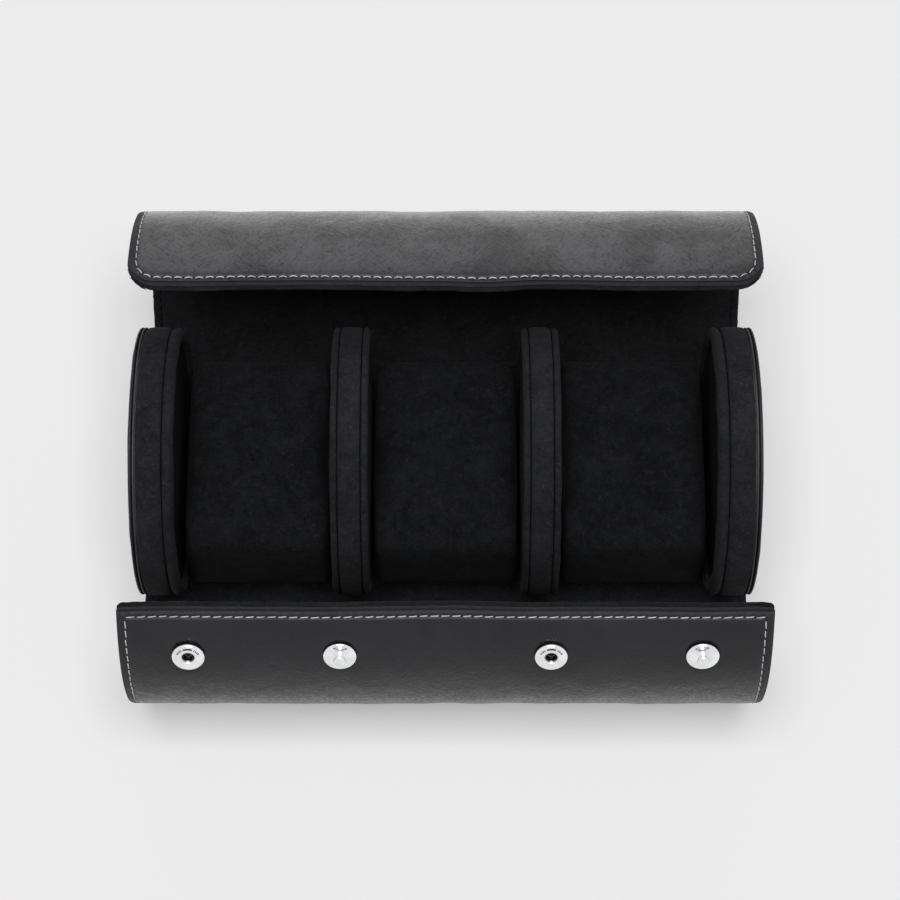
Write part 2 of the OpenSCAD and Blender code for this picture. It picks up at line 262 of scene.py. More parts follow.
def turn_about(y, z, pivot, angle):
    """Turns section points about a hinge line, by angles given point by point."""
    dy, dz = y - pivot[0], z - pivot[1]
    c, s = np.cos(angle), np.sin(angle)
    return pivot[0] + dy * c - dz * s, pivot[1] + dy * s + dz * c


def bend_ends(side):
    """The two ends of the bend at a hinge, on the outer surface of the open case."""
    ends = []
    for reach in (-BEND_HALF, BEND_HALF):
        u = np.array([-side * (HINGE_AT + reach)])
        y, z = closed_section(u, np.zeros(1))
        if reach > 0:
            y, z = turn_about(y, z, hinge_point(side), opening_angle(side))
        ends.append((float(y[0]), float(z[0])))
    return ends


def opening_angle(side):
    return math.radians(FRONT_OPENING) if side < 0 else -math.radians(BACK_OPENING)


def open_section(u, height):
    """Place in the section of the open case.  Leather bends smoothly over each hinge."""
    closed_y, closed_z = closed_section(u, height)
    y, z = closed_y.copy(), closed_z.copy()
    for side in (-1, 1):
        (ya, za), (yb, zb) = bend_ends(side)
        span = (yb - ya) ** 2 + (zb - za) ** 2
        on_side = -side * u > 0
        share = share_of((-side * u - HINGE_AT + BEND_HALF) / (2 * BEND_HALF))
        for _ in range(BEND_STEPS):
            weight = share * share * (3 - 2 * share)
            ty, tz = turn_about(closed_y, closed_z, hinge_point(side), weight * opening_angle(side))
            found = share_of(((ty - ya) * (yb - ya) + (tz - za) * (zb - za)) / span)
            share = 0.5 * share + 0.5 * found
        y, z = np.where(on_side, ty, y), np.where(on_side, tz, z)
    return y, np.maximum(z, FLOOR_GAP)


def relax(x, u, height):
    """Small sways of a hand-made case: a wavy flap edge and a lip whose corners flare."""
    flap_near = np.exp(-(u - FLAP_AT) / FLAP_REACH)
    lip_near = np.exp(-(LIP_AT - u) / LIP_REACH)
    side_near = np.exp(-(CASE_LENGTH / 2 - np.abs(x)) / SIDE_REACH)
    u = u + FLAP_SWAY * slow_wave(x, 0 * x) * flap_near + LIP_SWAY * slow_wave(x, 0 * x + 60) * lip_near
    height = height + FLAP_LIFT * slow_wave(x * 1.3, 0 * x + 25) * flap_near
    height = height + (LIP_FLARE * side_near + LIP_LIFT * slow_wave(x, 0 * x + 90)) * lip_near
    return x, u, height


def roll_up(piece):
    """Rolls a flat piece, X along the case, Y towards the lip and Z outwards, into its place."""
    co = points_of(piece) / MM
    x, u, height = relax(co[:, 0], co[:, 1], co[:, 2])
    y, z = open_section(u, height)
    set_points(piece, np.column_stack([x, y, z]) * MM)


def hinge_bend(piece):
    """Bakes a piece's transform into its points; the piece does not bend at a hinge."""
    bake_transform(piece)


def fold_bend(piece):
    """Finds the two ends of the fold, which are not used, and bakes a piece's transform into its points; the
    piece does not bend at the fold.
    """
    for u in (FOLD_AT + BEND_HALF, FOLD_AT - BEND_HALF):
        y, z = open_section(np.array([u]), np.zeros(1))
    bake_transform(piece)


def join_panel(piece, part):
    """part is front, back or flap."""
    if part == "front":
        hinge_bend(piece)
    elif part == "back":
        hinge_bend(piece)
    else:
        fold_bend(piece)


# The shell is cut into three parts, each of which crosses one hinge
PART_RANGE = {"front": (0.0, LIP_AT), "back": (BACK_SPLIT_AT, 0.0), "flap": (FLAP_AT, BACK_SPLIT_AT)}
ON_LINE = 0.01
LEAST_CORNER = 0.4


def cut_corner(corner, side, end):
    """Corner radius of a layer that is drawn in from the outline by two different amounts."""
    return max(corner - (side + end) / 2, LEAST_CORNER)


def edge_distance(x, u, cut=(0, 0, 0)):
    """How far a point of the flat shell is inside its outline, or inside a layer's cut."""
    side, flap, lip = cut
    to_side = CASE_LENGTH / 2 - side - np.abs(x)
    to_end = np.where(u > 0, LIP_AT - lip - u, u - FLAP_AT - flap)
    corner = np.where(u > 0, cut_corner(LIP_CORNER, side, lip), cut_corner(FLAP_CORNER, side, flap))
    a, b = corner - to_side, corner - to_end
    rounded = corner - np.hypot(a, b)
    return np.where((a > 0) & (b > 0), rounded, np.minimum(to_side, to_end))


def cut_lines(start, end, fine_start, fine_end, step, fine=0.42, border=5.0):
    """Places of the lines of a sheet, closer together near its free edges."""
    lines, at = [start], start
    while at < end - 1e-6:
        near_start = fine_start and at - start < border
        near_end = fine_end and end - at < border + 1e-6
        at += fine if near_start or near_end else step
        lines.append(at)
    lines = np.array(lines)
    return start + (lines - start) * (end - start) / (lines[-1] - start)


def flat_sheet(name, part, height, thickness, cut, step, rim, border=None):
    """A sheet of the shell, cut flat: its outer face lies at the given height.

    With a border, only a strip of that width is left along the free edges.
    """
    low, high = PART_RANGE[part]
    low = low + cut[1] if part == "flap" else low
    high = high - cut[2] if part == "front" else high
    half = CASE_LENGTH / 2 - cut[0]
    xs = cut_lines(-half, half, True, True, step)
    us = cut_lines(low, high, part == "flap", part == "front", step)
    bpy.ops.mesh.primitive_grid_add(
        x_subdivisions=len(xs) - 1, y_subdivisions=len(us) - 1, size=2, location=(0, 0, 0)
    )
    piece = just_made(name)
    co = points_of(piece)
    column = np.rint((co[:, 0] + 1) / 2 * (len(xs) - 1)).astype(int)
    row = np.rint((co[:, 1] + 1) / 2 * (len(us) - 1)).astype(int)
    x, u = xs[column], us[row]
    x, u = round_corners(x, u, half, low if part == "flap" else high, part, cut)
    set_points(piece, np.column_stack([x, u, np.full(len(x), height)]) * MM)
    if border:
        cut_away_inside(piece, border)
    thicken(piece, thickness)
    roll_rim(piece, part, cut, rim)
    return piece


def face_middles(piece):
    """Middles of a piece's faces, in millimetres."""
    middles = np.empty(len(piece.data.polygons) * 3)
    piece.data.polygons.foreach_get("center", middles)
    return middles.reshape(-1, 3) / MM


def delete_faces(piece, chosen):
    edit_chosen(piece, "FACE", chosen)
    bpy.ops.mesh.delete(type="FACE")
    bpy.ops.object.mode_set(mode="OBJECT")


def cut_away_inside(piece, border):
    """Deletes the faces that lie further inside the outline than the border."""
    middles = face_middles(piece)
    delete_faces(piece, edge_distance(middles[:, 0], middles[:, 1]) > border)


def punch(piece, x, u, radius):
    """Cuts the hole that a socket's barrel fills through a flat sheet, and closes its wall."""
    middles = face_middles(piece)
    delete_faces(piece, np.hypot(middles[:, 0] - x, middles[:, 1] - u) < radius)
    bpy.ops.object.mode_set(mode="EDIT")
    bpy.ops.mesh.select_mode(type="EDGE")
    bpy.ops.mesh.select_all(action="DESELECT")
    bpy.ops.mesh.select_non_manifold()
    bpy.ops.mesh.bridge_edge_loops()
    bpy.ops.object.mode_set(mode="OBJECT")


def round_corners(x, u, half, end, part, cut):
    """Draws the corners of a sheet in to their rounding."""
    if part == "back":
        return x, u
    if part == "flap":
        corner = cut_corner(FLAP_CORNER, cut[0], cut[1])
    else:
        corner = cut_corner(LIP_CORNER, cut[0], cut[2])
    way = -1 if part == "flap" else 1
    a = (np.abs(x) - (half - corner)) / corner
    b = (way * u - (way * end - corner)) / corner
    inside = (a > 0) & (b > 0)
    a, b = np.where(inside, a, 0), np.where(inside, b, 0)
    a, b = a * np.sqrt(1 - b * b / 2), b * np.sqrt(1 - a * a / 2)
    x = np.where(inside, np.sign(x) * (half - corner + corner * a), x)
    u = np.where(inside, way * (way * end - corner + corner * b), u)
    return x, u


def roll_rim(piece, part, cut, rim):
    """Bevels the two edge lines of a sheet's free outline into a soft round rim."""
    co = points_of(piece) / MM
    on_outline = edge_distance(co[:, 0], co[:, 1], cut) < ON_LINE
    ends = np.empty(len(piece.data.edges) * 2, int)
    piece.data.edges.foreach_get("vertices", ends)
    a, b = ends.reshape(-1, 2).T
    level = np.abs(co[a, 2] - co[b, 2]) < 1e-3
    both = on_outline[a] & on_outline[b] & level
    low, high = PART_RANGE[part]
    joint = (np.abs(co[:, 1] - low) < ON_LINE) & (part != "flap")
    joint |= (np.abs(co[:, 1] - high) < ON_LINE) & (part != "front")
    both &= ~(joint[a] & joint[b])
    edit_chosen(piece, "EDGE", both)
    bpy.ops.mesh.bevel(offset=rim * MM, segments=3, profile=0.5, affect="EDGES")
    bpy.ops.object.mode_set(mode="OBJECT")


def keep_cut(piece, cut=(0, 0, 0)):
    """Keeps a flat piece's own coordinates for its patterns: a UV map and a rim mask."""
    co = points_of(piece)
    loops = np.empty(len(piece.data.loops), int)
    piece.data.loops.foreach_get("vertex_index", loops)
    uv = piece.data.uv_layers.new(name="cut") if not piece.data.uv_layers else piece.data.uv_layers[0]
    uv.name = "cut"
    uv.data.foreach_set("uv", co[loops, :2].ravel())
    depth = edge_distance(co[:, 0] / MM, co[:, 1] / MM, cut)
    mark = piece.data.attributes.new("edge_depth", "FLOAT", "POINT")
    mark.data.foreach_set("value", depth.astype(np.float32))


# ---- Materials ----

def new_group(name, inputs, outputs):
    """An empty shader node group with named sockets: inputs give kind and default."""
    group = bpy.data.node_groups.new(name, "ShaderNodeTree")
    for label, (kind, default) in inputs.items():
        socket = group.interface.new_socket(name=label, in_out="INPUT", socket_type="NodeSocket" + kind)
        if default is not None:
            socket.default_value = default
    for label in outputs:
        group.interface.new_socket(name=label, in_out="OUTPUT", socket_type="NodeSocketFloat")
    return group, group.nodes.new("NodeGroupInput"), group.nodes.new("NodeGroupOutput")


def node(tree, kind, links=None, **settings):
    """Adds a node, sets it up and links its inputs: a link is an output socket or a number."""
    made = tree.nodes.new("ShaderNode" + kind)
    for key, value in settings.items():
        setattr(made, key, value)
    for key, value in (links or {}).items():
        if isinstance(value, bpy.types.NodeSocket):
            tree.links.new(value, made.inputs[key])
        else:
            made.inputs[key].default_value = value
    return made


def math_node(tree, operation, a, b=0.0):
    return node(tree, "Math", {0: a, 1: b}, operation=operation).outputs[0]


def weighted(tree, *parts):
    """Sum of values, each times its weight."""
    total = None
    for value, weight in parts:
        part = math_node(tree, "MULTIPLY", value, weight)
        total = part if total is None else math_node(tree, "ADD", total, part)
    return total


def remap(tree, value, low, high, to_low=0.0, to_high=1.0):
    links = {"Value": value, "From Min": low, "From Max": high, "To Min": to_low, "To Max": to_high}
    return node(tree, "MapRange", links, interpolation_type="SMOOTHSTEP").outputs[0]


def noise_of(tree, place, scale, detail=3.0, roughness=0.55, distortion=0.0):
    links = {"Vector": place, "Scale": scale, "Detail": detail, "Roughness": roughness}
    links["Distortion"] = distortion
    return node(tree, "TexNoise", links).outputs["Fac"]


def wrinkles(tree, place, turn, scale, stretch=0.32):
    """Fine creases that run one way: rounded hills with sharp valleys between them."""
    mapping = node(tree, "Mapping", {"Vector": place, "Rotation": (0, 0, math.radians(turn)),
                                     "Scale": (1.0 / stretch, 1.0, 1.0)}, vector_type="TEXTURE")
    hills = noise_of(tree, mapping.outputs[0], scale, 2.0, 0.5, 0.28)
    return math_node(tree, "ABSOLUTE", math_node(tree, "SUBTRACT", hills, 0.5))


CREASE_TURNS = (52, -47)
FOLD_TURN, FOLD_SCALE, FOLD_STRETCH = 14, 240.0, 0.24
PATCH_LOW, PATCH_HIGH = 0.38, 0.6


def grain_group():
    """Fine-grained calf leather: pebbles, pores and soft creases that cross each other, with painted shade
    darkening the crease valleys a little.
    """
    inputs = {"Place": ("Vector", None), "Pebble": ("Float", 1150.0), "Crease": ("Float", 560.0),
              "Crease depth": ("Float", 1.0)}
    tree, start, end = new_group("calf grain", inputs, ("Height", "Tone", "Polish", "Ridge"))
    place, crease_depth = start.outputs["Place"], start.outputs["Crease depth"]
    cells = node(tree, "TexVoronoi", {"Vector": place, "Scale": start.outputs["Pebble"]},
                 feature="SMOOTH_F1")
    pebble = remap(tree, cells.outputs["Distance"], 0.05, 0.75)
    fine = noise_of(tree, place, 2600.0)
    one_way, other_way = (wrinkles(tree, place, turn, start.outputs["Crease"]) for turn in CREASE_TURNS)
    patch = noise_of(tree, place, 70.0, 5.0, 0.6, 0.5)
    cloud = noise_of(tree, place, 26.0, 3.0, 0.5, 0.3)
    share = remap(tree, patch, PATCH_LOW, PATCH_HIGH, 0.1, 1.0)
    rest = remap(tree, patch, 1 - PATCH_LOW, 1 - PATCH_HIGH, 0.1, 1.0)
    crease = weighted(tree, (one_way, share), (other_way, rest))
    fold = wrinkles(tree, place, FOLD_TURN, FOLD_SCALE, FOLD_STRETCH)
    both = weighted(tree, (crease, 1.8), (fold, 0.4))
    height = weighted(tree, (pebble, -0.1), (fine, 0.07), (both, crease_depth), (patch, 2.2))
    ridge = remap(tree, fold, 0.0, 0.014, 0.6, 1.0)
    for lines, amount in ((one_way, share), (other_way, rest)):
        valley = math_node(tree, "MULTIPLY", remap(tree, lines, 0.004, 0.036, 1.0, 0.0), amount)
        ridge = math_node(tree, "MULTIPLY", ridge, math_node(tree, "SUBTRACT", 1.0, valley))
    # Painted shade: the tone darkens a little in the crease valleys
    creased = math_node(tree, "MULTIPLY", ridge, crease_depth)
    tone = weighted(tree, (cloud, 0.5), (patch, 0.4), (creased, 0.03))
    tree.links.new(height, end.inputs["Height"])
    tree.links.new(ridge, end.inputs["Ridge"])
    tree.links.new(remap(tree, tone, 0.37, 0.62), end.inputs["Tone"])
    tree.links.new(weighted(tree, (pebble, 0.5), (patch, 0.5)), end.inputs["Polish"])
    return tree


def nap_group():
    """Suede: brushed patches, short fibres and a few lifted flecks."""
    inputs = {"Place": ("Vector", None), "Patch": ("Float", 70.0), "Fibre": ("Float", 2400.0)}
    tree, start, end = new_group("suede nap", inputs, ("Height", "Tone", "Fleck"))
    place = start.outputs["Place"]
    patch = noise_of(tree, place, start.outputs["Patch"], 6.0, 0.68, 0.8)
    brushed = noise_of(tree, place, 420.0, 4.0, 0.7, 0.4)
    tuft = noise_of(tree, place, 1050.0, 3.0, 0.7, 0.3)
    fibre = noise_of(tree, place, start.outputs["Fibre"], 3.0, 0.7)
    tone = weighted(tree, (patch, 0.4), (brushed, 0.25), (tuft, 0.3), (fibre, 0.1))
    height = weighted(tree, (brushed, 0.8), (tuft, 0.7), (fibre, 0.4))
    fleck = math_node(tree, "MULTIPLY", brushed, tuft)
    tree.links.new(remap(tree, tone, 0.4, 0.66), end.inputs["Tone"])
    tree.links.new(height, end.inputs["Height"])
    tree.links.new(remap(tree, fleck, 0.33, 0.46), end.inputs["Fleck"])
    return tree


def wear_group():
    """Rubbed edge of a cut sheet: 1 on the rim, broken up, and 0 inside."""
    inputs = {"Place": ("Vector", None), "Depth": ("Float", 0.0), "Reach": ("Float", 1.0)}
    tree, start, end = new_group("rubbed edge", inputs, ("Mask",))
    rim = remap(tree, start.outputs["Depth"], start.outputs["Reach"], 0.1)
    broken = remap(tree, noise_of(tree, start.outputs["Place"], 240.0, 4.0, 0.6), 0.3, 0.65, 0.35, 1.0)
    tree.links.new(math_node(tree, "MULTIPLY", rim, broken), end.inputs["Mask"])
    return tree


GRAIN, NAP, WEAR = grain_group(), nap_group(), wear_group()


def new_material(name, roughness, specular=0.5, metallic=0.0):
    material = bpy.data.materials.new(name)
    material.use_nodes = True
    shader = material.node_tree.nodes["Principled BSDF"]
    shader.inputs["Roughness"].default_value = roughness
    shader.inputs["Specular IOR Level"].default_value = specular
    shader.inputs["Metallic"].default_value = metallic
    return material, material.node_tree, shader


def place_of(tree, rolled=False):
    """Where a pattern is read: on the cut of a rolled sheet, or on the object."""
    if rolled:
        return node(tree, "UVMap", uv_map="cut").outputs["UV"]
    return node(tree, "TexCoord").outputs["Object"]


def mark_of(tree, name):
    """A value that a piece's own points carry."""
    return node(tree, "Attribute", attribute_name=name).outputs["Fac"]


def blend_colors(tree, factor, dark, light):
    mix = node(tree, "Mix", data_type="RGBA")
    for socket, value in ((mix.inputs[0], factor), (mix.inputs[6], dark), (mix.inputs[7], light)):
        if isinstance(value, bpy.types.NodeSocket):
            tree.links.new(value, socket)
        else:
            socket.default_value = value if isinstance(value, float) else (*value, 1.0)
    return mix.outputs[2]


def surface(tree, shader, color, height, strength, depth):
    """Links a material's colour, and its relief as deep as given in metres."""
    tree.links.new(color, shader.inputs["Base Color"])
    bump = node(tree, "Bump", {"Strength": strength, "Distance": depth, "Height": height})
    tree.links.new(bump.outputs["Normal"], shader.inputs["Normal"])


# How far inside the cut the rubbed rim ends, and the waxed field starts and is full, in millimetres
WEAR_REACH = 0.9
WAX_STARTS, WAX_FULL = 1.7, 4.3
COAT_ROUGHNESS = 0.3
RUBBED_ROUGHNESS = 0.3
BORDER_ROUGHNESS = 0.22
VALLEY_WAX = 0.52
CLOUD_WAX = (0.62, 1.05)
POLISH_BELOW, POLISH_ABOVE = 0.07, 0.12


def leather_material(name, colors, rolled=True, depth=0.00018, crease=1.0, rubbed=None, roughness=0.44,
                     specular=0.3, coat=0.0):
    """Calf: grain and creases, a rubbed rim beside a dull border, and a field that may be waxed."""
    material, tree, shader = new_material(name, roughness, specular=specular)
    shader.inputs["Coat Weight"].default_value = coat
    shader.inputs["Coat Roughness"].default_value = COAT_ROUGHNESS
    place = place_of(tree, rolled)
    grain = node(tree, "Group", {"Place": place, "Crease depth": crease}, node_tree=GRAIN).outputs
    color = blend_colors(tree, grain["Tone"], *colors)
    polish = remap(tree, grain["Polish"], 0.2, 0.9, roughness - POLISH_BELOW, roughness + POLISH_ABOVE)
    if rubbed:
        rim = mark_of(tree, "edge_depth")
        links = {"Place": place, "Depth": rim, "Reach": WEAR_REACH}
        wear = node(tree, "Group", links, node_tree=WEAR).outputs["Mask"]
        color = blend_colors(tree, wear, color, rubbed)
        field = remap(tree, rim, WAX_STARTS, WAX_FULL)
        dull = remap(tree, field, 0.0, 1.0, BORDER_ROUGHNESS, 0.0)
        polish = math_node(tree, "ADD", polish, math_node(tree, "MULTIPLY", wear, RUBBED_ROUGHNESS))
        polish = math_node(tree, "ADD", polish, dull)
        if coat:
            waxed = remap(tree, grain["Ridge"], 0.0, 1.0, VALLEY_WAX * coat, coat)
            cloudy = remap(tree, grain["Tone"], 0.1, 0.9, *CLOUD_WAX)
            waxed = math_node(tree, "MULTIPLY", waxed, cloudy)
            tree.links.new(math_node(tree, "MULTIPLY", waxed, field), shader.inputs["Coat Weight"])
    tree.links.new(polish, shader.inputs["Roughness"])
    surface(tree, shader, color, grain["Height"], strength=0.75, depth=depth)
    return material


SUEDE_DEPTH = 0.0002
SUEDE_SHEEN_TINT = (0.8, 0.82, 0.88, 1.0)
LIFTED_SHARE, LIFTED_GAIN = 0.5, 2.6


def suede_material(name, colors, rolled=False, patch=70.0, sheen=0.01):
    """Suede: brushed nap with a few lifted, paler flecks and a faint sheen."""
    material, tree, shader = new_material(name, 0.95, specular=0.12)
    shader.inputs["Sheen Weight"].default_value = sheen
    shader.inputs["Sheen Roughness"].default_value = 0.5
    shader.inputs["Sheen Tint"].default_value = SUEDE_SHEEN_TINT
    links = {"Place": place_of(tree, rolled), "Patch": patch}
    nap = node(tree, "Group", links, node_tree=NAP).outputs
    color = blend_colors(tree, nap["Tone"], *colors)
    lifted = tuple(min(1.0, value * LIFTED_GAIN) for value in colors[1])
    color = blend_colors(tree, math_node(tree, "MULTIPLY", nap["Fleck"], LIFTED_SHARE), color, lifted)
    surface(tree, shader, color, nap["Height"], strength=0.6, depth=SUEDE_DEPTH)
    return material


def thread_material(name, dark, light, roughness, specular):
    """Waxed thread: plies across the object's own place, slightly soiled."""
    material, tree, shader = new_material(name, roughness, specular=specular)
    place = place_of(tree)
    soil = noise_of(tree, place, 190.0)
    ply = node(tree, "TexWave", {"Vector": place, "Scale": 900.0, "Distortion": 1.5},
               bands_direction="DIAGONAL").outputs["Fac"]
    tone = remap(tree, weighted(tree, (soil, 0.8), (ply, 0.25)), 0.25, 0.8)
    surface(tree, shader, blend_colors(tree, tone, dark, light), ply, strength=0.6, depth=0.00008)
    return material


# Painted shade: the dark grey that colours the inside of a socket's bore
BORE_PAINTED_SHADE = (0.13, 0.13, 0.135)
HAZE_DULLS = 0.86


def metal_material(name, color, roughness, scratch):
    """Plated metal with faint polishing marks and finger haze, and painted shade, dark grey, where its bore
    is marked.
    """
    material, tree, shader = new_material(name, roughness, metallic=1.0)
    place = place_of(tree)
    haze = noise_of(tree, place, 260.0, 4.0)
    stretch = node(tree, "Mapping", {"Vector": place, "Scale": (9.0, 1.0, 1.0)}).outputs[0]
    lines = noise_of(tree, stretch, 900.0)
    dull = tuple(value * HAZE_DULLS for value in color)
    plated = blend_colors(tree, remap(tree, haze, 0.35, 0.7), dull, color)
    # Painted shade inside the bore, where the bore mask is set
    color = blend_colors(tree, mark_of(tree, "bore"), plated, BORE_PAINTED_SHADE)
    worn = weighted(tree, (haze, 0.6), (lines, 0.4))
    tree.links.new(remap(tree, worn, 0.3, 0.75, roughness * 0.6, roughness * 1.7),
                   shader.inputs["Roughness"])
    surface(tree, shader, color, lines, strength=scratch, depth=0.00002)
    return material


def fibre_material(name, dark, light, scale, depth):
    """Pressed board or foam: speckled, matt and slightly rough."""
    material, tree, shader = new_material(name, 0.9, specular=0.2)
    speckle = noise_of(tree, place_of(tree), scale, 6.0, 0.7)
    color = blend_colors(tree, remap(tree, speckle, 0.3, 0.7), dark, light)
    surface(tree, shader, color, speckle, strength=0.7, depth=depth)
    return material


# Dark and light tone of each leather and suede
CALF = (0.0075, 0.0075, 0.0095), (0.0125, 0.0125, 0.0155)
# Partly painted light: the creased back and flap calf is the front's leather, given a lighter tone for the
# light the flap catches
CREASED_CALF_LIT = (0.006, 0.006, 0.008), (0.023, 0.023, 0.0275)
FOLDED_CALF = (0.008, 0.008, 0.010), (0.014, 0.014, 0.017)
CUT_CALF = (0.035, 0.035, 0.039), (0.065, 0.066, 0.071)
# Painted shade: near-black calf for the blobs that stand for the shade in the needle holes
HOLE_SHADE_CALF = (0.004, 0.004, 0.0045), (0.010, 0.010, 0.011)
LINING_SUEDE = (0.008, 0.0083, 0.0092), (0.0195, 0.0202, 0.0223)
DISC_SUEDE = (0.0085, 0.0088, 0.0099), (0.0235, 0.024, 0.0263)
# Painted shade: a darker suede for the sunk middle of the disc faces, which lie in shade
DISC_FACE_SHADE_SUEDE = (0.003, 0.0032, 0.0036), (0.008, 0.0083, 0.0092)
# Partly painted shade: the cushions' black suede is darker than the discs', standing in for the shade down
# in the bays
CUSHION_SHADE_SUEDE = (0.0024, 0.0026, 0.003), (0.0105, 0.011, 0.0123)
CALF_RUBBED = (0.024, 0.0245, 0.0275)
FOLD_RUBBED = (0.026, 0.0265, 0.03)

front_leather = leather_material("charcoal calf", CALF, crease=0.5, depth=0.0003, rubbed=CALF_RUBBED,
                                 specular=0.35, roughness=0.3)
# The back and flap calf is lighter than the front's: partly painted light
back_leather = leather_material("creased charcoal calf", CREASED_CALF_LIT, crease=2.3, depth=0.0002,
                                rubbed=CALF_RUBBED, roughness=0.27, coat=0.9)
strip_leather = leather_material("folded edge calf", FOLDED_CALF, crease=0.5, rubbed=FOLD_RUBBED)
cap_leather = leather_material("end cap calf", CALF, rolled=False)
cap_edge_leather = leather_material("end cap edge", CUT_CALF, rolled=False, crease=0.3)
needle_shade_material = leather_material("needle holes", HOLE_SHADE_CALF, rolled=False, roughness=0.8)
lining_suede = suede_material("black lining suede", LINING_SUEDE, rolled=True, sheen=0.02)
disc_suede = suede_material("black disc suede", DISC_SUEDE)
disc_face_shade_suede = suede_material("disc face suede with painted shade", DISC_FACE_SHADE_SUEDE, sheen=0.0)
cushion_shade_suede = suede_material("black cushion suede darkened for shade", CUSHION_SHADE_SUEDE, patch=95.0)
white_thread = thread_material("grey waxed thread", (0.36, 0.365, 0.375), (0.74, 0.745, 0.76), 0.5, 0.4)
black_thread = thread_material("black spun thread", (0.002, 0.002, 0.0024), (0.006, 0.006, 0.0066), 0.95,
                               0.05)
chrome = metal_material("polished chrome", (0.96, 0.965, 0.975), 0.09, 0.25)
stamped = metal_material("blackened stamping", (0.05, 0.05, 0.052), 0.4, 0.25)
steel = metal_material("plated spring steel", (0.62, 0.62, 0.63), 0.32, 0.5)
board = fibre_material("pressed board", (0.1, 0.085, 0.065), (0.19, 0.165, 0.13), 1400.0, 0.00008)
foam = fibre_material("upholstery foam", (0.42, 0.41, 0.36), (0.6, 0.585, 0.53), 2200.0, 0.0002)


def give(piece, material):
    piece.data.materials.clear()
    piece.data.materials.append(material)


# ---- Shell: outer leather, folded strip and suede lining ----

FRONT_SNAP_AT = math.radians(270 - (FLAP_EDGE_ANGLE - math.degrees(STUD_INSET / BACK_RADIUS))) * SHELL_RADIUS
FLAP_SNAP_AT = FLAP_AT + STUD_INSET
SNAP_PLACES = (-OUTER_SNAP_X, -SNAP_X, SNAP_X, OUTER_SNAP_X)
SOCKETS = {"front": (-OUTER_SNAP_X, SNAP_X), "flap": (-SNAP_X, OUTER_SNAP_X)}
LEATHER_HOLE, LINING_HOLE = 3.0, 3.6
LEATHER_GAP = 0.05

# The seam's groove in the leather, and the softer valley beside it
SEAM_SINK, GROOVE_HALF = 0.66, 0.5
VALLEY_SINK, VALLEY_REACH = 0.3, 2.0
# Puckers between the stitches: deeper on the back, and on the flap only towards its corners
BACK_PUCKER, FRONT_PUCKER, PUCKER_VARIES = 0.3, 0.08, 0.6
SPINE_EDGE, FLAP_BORDER, FLAP_MIDDLE_SHARE, FLAP_MIDDLE, FLAP_CORNERS = -20, 8, 0.5, 80, 25
PUCKER_END, PUCKER_FADE, PUCKER_DRIFT = 0.6, 0.8, 0.9
BORDER_SWELL, BORDER_ROLL, ROLL_REACH, ROLL_CURVE = 0.08, 0.32, 2.3, 1.6
RIM_EVEN = 0.5
# Uneven lie of the leather's field: slow, middling and short waves, and how far it sinks
FIELD_REACH, FIELD_SLOW, FIELD_MID, FIELD_SHORT, FIELD_SINK = 7, 0.26, 0.11, 0.03, 0.12
# Dimples that the press studs pull into the leather round them
DIMPLE, DIMPLE_START, DIMPLE_REACH = 0.42, 4.6, 2.6
# The lining's groove, its puffed rim, its uneven lie and the fuzz of its cut edge
LINING_SINK, LINING_GROOVE = 0.38, 0.6
LINING_PUFF, PUFF_AT, PUFF_REACH, PUFF_VARIES = 0.3, 0.9, 1.1, 0.25
LINING_SWAY, LINING_REACH = 0.16, 5
RIM_FUZZ, FUZZ_BAND = 0.1, 1.0
# A folded strip's sway, how far round the edge it reaches, and where the case's corners start
STRIP_SHORT, STRIP_MID, STRIP_LIFT, STRIP_BEAD, STRIP_CORNER = 0.1, 0.08, 0.3, 2, 105


def press_leather(piece):
    """Presses the seam, the puckered border and the dimples of the press studs into a flat sheet."""
    co = points_of(piece) / MM
    x, u, z = co.T
    rim = edge_distance(x, u, LEATHER_CUT)
    past_seam = edge_distance(x, u, SEAM)
    inner = np.clip(past_seam, 0, None)
    relief = -VALLEY_SINK * np.exp(-inner / VALLEY_REACH)
    relief -= (SEAM_SINK - VALLEY_SINK) * bell(past_seam, GROOVE_HALF)
    phase = np.where(u > 0, u - np.abs(x), u + np.abs(x)) * 2 * np.pi / STITCH_PITCH
    strength = np.where(u < SPINE_EDGE, BACK_PUCKER, FRONT_PUCKER)
    strength = strength * (PUCKER_VARIES + PUCKER_VARIES * mid_wave(x, u))
    to_corner = share_of((np.abs(x) - FLAP_MIDDLE) / FLAP_CORNERS)
    on_flap = FLAP_MIDDLE_SHARE + (1 - FLAP_MIDDLE_SHARE) * to_corner
    strength *= np.where(u < FLAP_AT + FLAP_BORDER, on_flap, 1)
    window = share_of(rim / PUCKER_FADE) * share_of((PUCKER_END - past_seam) / PUCKER_FADE)
    relief += strength * window * np.sin(phase + PUCKER_DRIFT * short_wave(x, u))
    relief += BORDER_SWELL * window
    lie = FIELD_SLOW * slow_wave(x, u) + FIELD_MID * mid_wave(x, u) + FIELD_SHORT * short_wave(x, u)
    relief += (1 - np.exp(-inner / FIELD_REACH)) * (lie - FIELD_SINK)
    for snap in SNAP_PLACES:
        away = np.hypot(x - snap, u - FRONT_SNAP_AT)
        relief -= DIMPLE * bell(np.clip(away - DIMPLE_START, 0, None), DIMPLE_REACH)
    relief *= share_of(rim / RIM_EVEN)
    rolled = share_of(1 - rim / ROLL_REACH) ** ROLL_CURVE
    co[:, 2] = np.where(z > -LEATHER / 2, z + relief, z) - BORDER_ROLL * rolled * (z + LEATHER)
    set_points(piece, co * MM)


